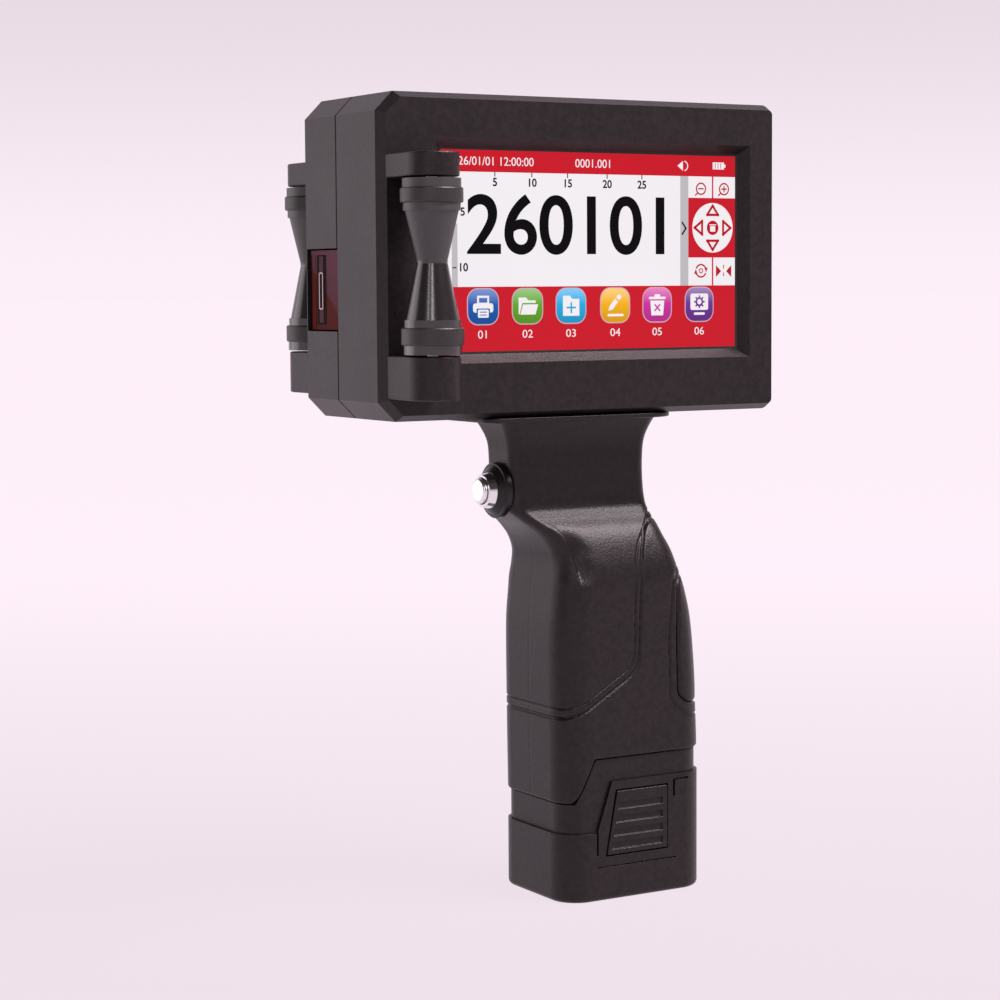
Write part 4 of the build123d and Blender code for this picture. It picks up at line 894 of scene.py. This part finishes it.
def draw_folder(x, z):
    back = [(-2.9, -2.2), (2.6, -2.2), (2.6, 1.6), (0.2, 1.6), (-0.5, 2.4), (-2.9, 2.4)]
    gap = [(2.6, -2.5), (3.6, 0.6), (3.6, 0.9), (-1.7, 0.9), (-2.7, -2.5)]
    front = [(2.5, -2.3), (3.4, 0.5), (-1.5, 0.5), (-2.4, -2.3)]
    show("white", moved(back, x, z), 4)
    show("green", moved(gap, x, z), 5)
    show("white", moved(front, x, z), 6)


def draw_new_file(x, z):
    sheet = [(-2.7, -2.8), (2.7, -2.8), (2.7, 1.9), (0.4, 1.9), (-0.4, 2.8), (-2.7, 2.8)]
    show("white", moved(sheet, x, z), 4)
    stroke("cyan", (x - 1.3, z - 0.5), (x + 1.3, z - 0.5), 0.5, 5)
    stroke("cyan", (x, z - 1.8), (x, z + 0.8), 0.5, 6)


def draw_pencil(x, z):
    pencil = [(-2.3, -1.5), (-0.9, -1.2), (2.2, 2.4), (1.2, 3.2), (-2.0, -0.3)]
    collar = [(1.0, 0.9), (1.35, 1.3), (0.3, 2.2), (0.0, 1.8)]
    show("white", moved(pencil, x, z), 4)
    show("yellow", moved(collar, x, z), 5)
    show("white", rounded_box(x - 2.6, z - 3.1, x + 2.8, z - 2.4, 0.3), 4)


def draw_waste_bin(x, z):
    bin_body = [(-2.0, -3.0), (2.0, -3.0), (2.4, 1.2), (-2.4, 1.2)]
    show("white", moved(bin_body, x, z), 4)
    show("white", rounded_box(x - 2.9, z + 1.6, x + 2.9, z + 2.3, 0.3), 4)
    show("white", rounded_box(x - 1.0, z + 2.1, x + 1.0, z + 3.0, 0.3), 5)
    stroke("magenta", (x - 0.8, z - 1.6), (x + 0.8, z), 0.45, 5)
    stroke("magenta", (x - 0.8, z), (x + 0.8, z - 1.6), 0.45, 6)


def draw_settings(x, z):
    """A display on its foot, with a toothed wheel on it."""
    show("white", rounded_box(x - 3.1, z - 1.6, x + 3.1, z + 3.1, 0.6), 4)
    show("white", rounded_box(x - 1.9, z - 3.0, x + 1.9, z - 2.3, 0.3), 4)
    hub = Vector((x, z + 0.75))
    ring("purple", hub.x, hub.y, 1.35, 0.6, 5)
    for k in range(8):
        out = Vector((math.cos(math.pi / 4 * k), math.sin(math.pi / 4 * k)))
        stroke("purple", hub + out * 1.3, hub + out * 1.6, 0.5, 6)


# place across the screen, colour and symbol of each large key
icons = {
    "blue": (-32.4, (0.012, 0.10, 0.42), draw_printer),
    "green": (-18.2, (0.13, 0.38, 0.025), draw_folder),
    "cyan": (-4.0, (0.022, 0.40, 0.74), draw_new_file),
    "yellow": (10.7, (0.92, 0.44, 0.012), draw_pencil),
    "magenta": (25.0, (0.60, 0.035, 0.34), draw_waste_bin),
    "purple": (39.6, (0.16, 0.035, 0.30), draw_settings),
}


def draw_icons():
    """The large keys with a pale edge and their symbols, and numbers below them."""
    for index, (name, (x, _, draw_symbol)) in enumerate(icons.items()):
        for colour, half, radius, level in (("icon_edge", ICON_HALF + 0.3, 3.3, 2),
                                            (name, ICON_HALF, 3.0, 3)):
            show(colour, rounded_box(x - half, ICON_Z - half, x + half, ICON_Z + half, radius), level)
        draw_symbol(x, ICON_Z)
        write_digits(f"key_digits_{index}", f"0{index + 1}", (x, KEY_DIGITS_Z), SMALL_DIGITS,
                     "white", 3, widen=1.15)


inks = {
    "red": display_material("screen_red", (0.60, 0.010, 0.022)),
    "white": display_material("screen_white", (0.90, 0.86, 0.89)),
    "grey": display_material("screen_grey", (0.52, 0.50, 0.53)),
    "black": display_material("screen_black", (0.004, 0.004, 0.005), glow=0.1),
    "ink_red": display_material("screen_ink_red", (0.50, 0.006, 0.012)),
    "icon_edge": display_material("screen_icon_edge", (0.60, 0.42, 0.52)),
}
for name, (_, key_colour, _) in icons.items():
    inks[name] = icon_material(f"screen_{name}", key_colour)
draw_background()
draw_rulers()
draw_zoom_keys()
draw_pad()
draw_turn_key()
draw_mirror_key()
draw_top_bar()
draw_icons()
write_digits("code_digits", "260101", (-3.0, 192.0), CODE_DIGITS, "black", 3, widen=1.03, bold=0.34)
for name, plates in picture.items():
    plates.make(f"screen_{name}", inks[name], "display_glass", "housing")


# ---- print plate in the window ---------------------------
def make_print_plate():
    """Raised rail with a slot and two nozzle rows, and the film's folded edges round it."""
    film_low, film_high = low("cartridge_flex"), high("cartridge_flex")
    strip = (low("nozzle_strip") + high("nozzle_strip")) / 2
    y, z = strip.y, strip.z

    def place(along, up, depth):
        return (film_low.x - depth, along, up)

    def outline(left, bottom, right, top):
        """A rectangle that runs anticlockwise when it is seen from the finger side."""
        return rectangle(left, bottom, right, top)[::-1]

    plates = {name: Plates(place) for name in ("slot", "rail", "frame")}
    # plate, half width, lowest and highest place, back and front
    for name, half, lowest, highest, back, front in (("slot", 2.8, -9.6, 9.7, 0.0, 0.05),
                                                     ("rail", 1.25, -9.0, 9.3, 0.05, 0.16),
                                                     ("slot", 1.0, -5.4, 4.9, 0.16, 0.20)):
        plates[name].add(outline(y - half, z + lowest, y + half, z + highest), back, front)
    for row in (y - 1.0, y + 1.0):
        plates["frame"].add(outline(row - 0.2, z - 5.2, row + 0.2, z + 4.7), 0.20, 0.32)
    for end in (z - 5.2, z + 4.7):
        plates["frame"].add(outline(y - 0.8, end - 0.2, y + 0.8, end + 0.2), 0.20, 0.30)
    left, right = film_low.y + 0.3, film_high.y
    fold = film_high.z - 1.3
    film = Plates(place)
    film.add(outline(left, fold, right - 0.2, film_high.z - 0.1), 0.0, 0.22)
    film.add(outline(left, film_low.z + 0.1, left + 0.7, fold), 0.0, 0.12)
    film.add(outline(right - 2.6, film_low.z + 0.3, right - 1.9, fold - 0.2), 0.0, 0.12)
    rail = add_grain(new_material("nozzle_rail", (0.060, 0.020, 0.026), 0.5,
                                  Specular_IOR_Level=0.08), 900.0, 0.1)
    dark = add_grain(new_material("nozzle_gap", (0.006, 0.004, 0.004), 0.6,
                                  Specular_IOR_Level=0.05), 900.0, 0.1)
    line = add_grain(new_material("nozzle_line", (0.50, 0.33, 0.33), 0.35, Metallic=0.3), 900.0, 0.1)
    piece = plates["rail"].make("nozzle_rail", rail, "steel", "cartridge")
    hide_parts("nozzle_strip")
    plates["slot"].make("nozzle_slot", dark, "cartridge_black", "cartridge")
    plates["frame"].make("nozzle_rows", line, "steel", "cartridge")
    film.make("print_film_edges", slot_materials["flex_circuit"], "flex_circuit", "cartridge")


make_print_plate()


# ---- camera ----------------------------------------------
CAMERA_PLACE = (-0.3728, -0.6023, 0.1757)                         # metres
CAMERA_YAW, CAMERA_PITCH, CAMERA_ROLL = 30.675, 4.919, -0.377     # degrees
CAMERA_LENS = 88.75


def aim_camera():
    """Camera left of the screen and a little above its middle, looking slightly down."""
    yaw, pitch, roll = (math.radians(turn) for turn in (CAMERA_YAW, CAMERA_PITCH, CAMERA_ROLL))
    view = Vector((math.sin(yaw) * math.cos(pitch), math.cos(yaw) * math.cos(pitch),
                   -math.sin(pitch)))
    side = Vector((math.cos(yaw), -math.sin(yaw), 0.0))
    up = side.cross(view)
    right = side * math.cos(roll) + up * math.sin(roll)
    top = up * math.cos(roll) - side * math.sin(roll)
    data = bpy.data.cameras.new("camera")
    data.lens = CAMERA_LENS
    data.sensor_width = 36.0
    data.clip_start = 0.01
    camera = bpy.data.objects.new("camera", data)
    scene.collection.objects.link(camera)
    rotation = Matrix((right, top, -view)).transposed()
    camera.matrix_world = Matrix.Translation(CAMERA_PLACE) @ rotation.to_4x4()
    scene.camera = camera


# ---- floor, backdrop and light ---------------------------
PALE = (0.955, 0.835, 0.915)
FAR_SIDE = (0.25, 0.97)       # direction of the bright side of the studio, in plan
DIM = 0.07                    # brightness of the viewer's side
HORIZON = 0.60                # brightness of the low band on the viewer's side
BACKDROP = 1.03               # brightness where the floor meets the backdrop
FLOOR_NEAR = 0.86             # brightness of the floor near the viewer
BACKDROP_HIGH = 0.84          # brightness of the backdrop higher up
FLOOR_REACH = 40.0            # metres to each side
UPWARDS = (0.0, 0.0, 1.0)
LAMP = (1.0, 0.92, 0.95)
# name, place, aim, size (all in metres) and power in watts
LIGHTS = (
    ("left", (-0.95, 0.75, 0.30), (0.0, 0.0, 0.14), (0.9, 1.0), 3.6),
    ("above", (0.42, -0.42, 0.92), (0.02, 0.0, 0.11), (0.55, 0.5), 18.0),
    ("strip", (-0.60, -1.0, 0.72), (-0.05, -0.03, 0.17), (0.16, 0.5), 1.9),
    ("side_strip", (-0.95, -0.78, 0.62), (-0.05, -0.03, 0.17), (0.12, 0.5), 0.9),
)


def spread(tree, source, along, start, end, low_value, high_value):
    """A value that eases between two places along a direction: metres, or the sky's unit ball."""
    coords = tree.nodes.new("ShaderNodeTexCoord")
    facing = tree.nodes.new("ShaderNodeVectorMath")
    facing.operation = "DOT_PRODUCT"
    facing.inputs[1].default_value = along
    scaled = tree.nodes.new("ShaderNodeMapRange")
    scaled.interpolation_type = "SMOOTHSTEP"
    scaled.inputs["From Min"].default_value = start
    scaled.inputs["From Max"].default_value = end
    scaled.inputs["To Min"].default_value = low_value
    scaled.inputs["To Max"].default_value = high_value
    tree.links.new(coords.outputs[source], facing.inputs[0])
    tree.links.new(facing.outputs["Value"], scaled.inputs["Value"])
    return scaled.outputs["Result"]


def build_floor():
    """Pale floor, a little darker towards the viewer, that runs into the backdrop unseen."""
    material = add_grain(new_material("floor", (0.03, 0.027, 0.029), 0.9, Specular_IOR_Level=0.0),
                         60.0, 0.0, blend=0.01)
    tree = material.node_tree
    shader = tree.nodes["Principled BSDF"]
    shader.inputs["Emission Color"].default_value = (*PALE, 1.0)
    level = spread(tree, "Object", (0.51, 0.86, 0.0), -0.2, 0.9, FLOOR_NEAR, BACKDROP)
    tree.links.new(level, shader.inputs["Emission Strength"])
    mesh = bpy.data.meshes.new("floor")
    mesh.from_pydata([(x, y, 0.0) for x, y in rectangle(-FLOOR_REACH, -FLOOR_REACH,
                                                        FLOOR_REACH, FLOOR_REACH)],
                     [], [(0, 1, 2, 3)])
    mesh.materials.append(material)
    floor = bpy.data.objects.new("floor", mesh)
    scene.collection.objects.link(floor)


def build_world():
    """Pale studio: bright behind the object, dimmer on the viewer's side and overhead."""
    world = bpy.data.worlds.new("studio")
    world.use_nodes = True
    tree = world.node_tree
    background = tree.nodes["Background"]
    brightness = spread(tree, "Generated", (*FAR_SIDE, 0.0), 0.05, 0.78, 0.0, 1.0)
    horizon = spread(tree, "Generated", UPWARDS, 0.12, 0.26, HORIZON, 0.0)
    higher = tree.nodes.new("ShaderNodeMath")
    higher.operation = "MAXIMUM"
    tree.links.new(brightness, higher.inputs[0])
    tree.links.new(horizon, higher.inputs[1])
    tint = ramp(tree, higher.outputs["Value"],
                [(0.0, tuple(c * DIM for c in PALE)), (1.0, PALE)])
    tree.links.new(tint.outputs["Color"], background.inputs["Color"])
    height = spread(tree, "Generated", UPWARDS, 0.0, 0.13, BACKDROP, BACKDROP_HIGH)
    tree.links.new(height, background.inputs["Strength"])
    scene.world = world


def soft_light(name, place, aim, size, power):
    data = bpy.data.lights.new(name, "AREA")
    data.shape = "RECTANGLE"
    data.size, data.size_y = size
    data.energy = power
    data.color = LAMP
    light = bpy.data.objects.new(name, data)
    light.location = place
    light.rotation_euler = (Vector(aim) - Vector(place)).to_track_quat("-Z", "Y").to_euler()
    scene.collection.objects.link(light)


scene.view_settings.view_transform = "Standard"
aim_camera()
build_floor()
build_world()
for light in LIGHTS:
    soft_light(*light)
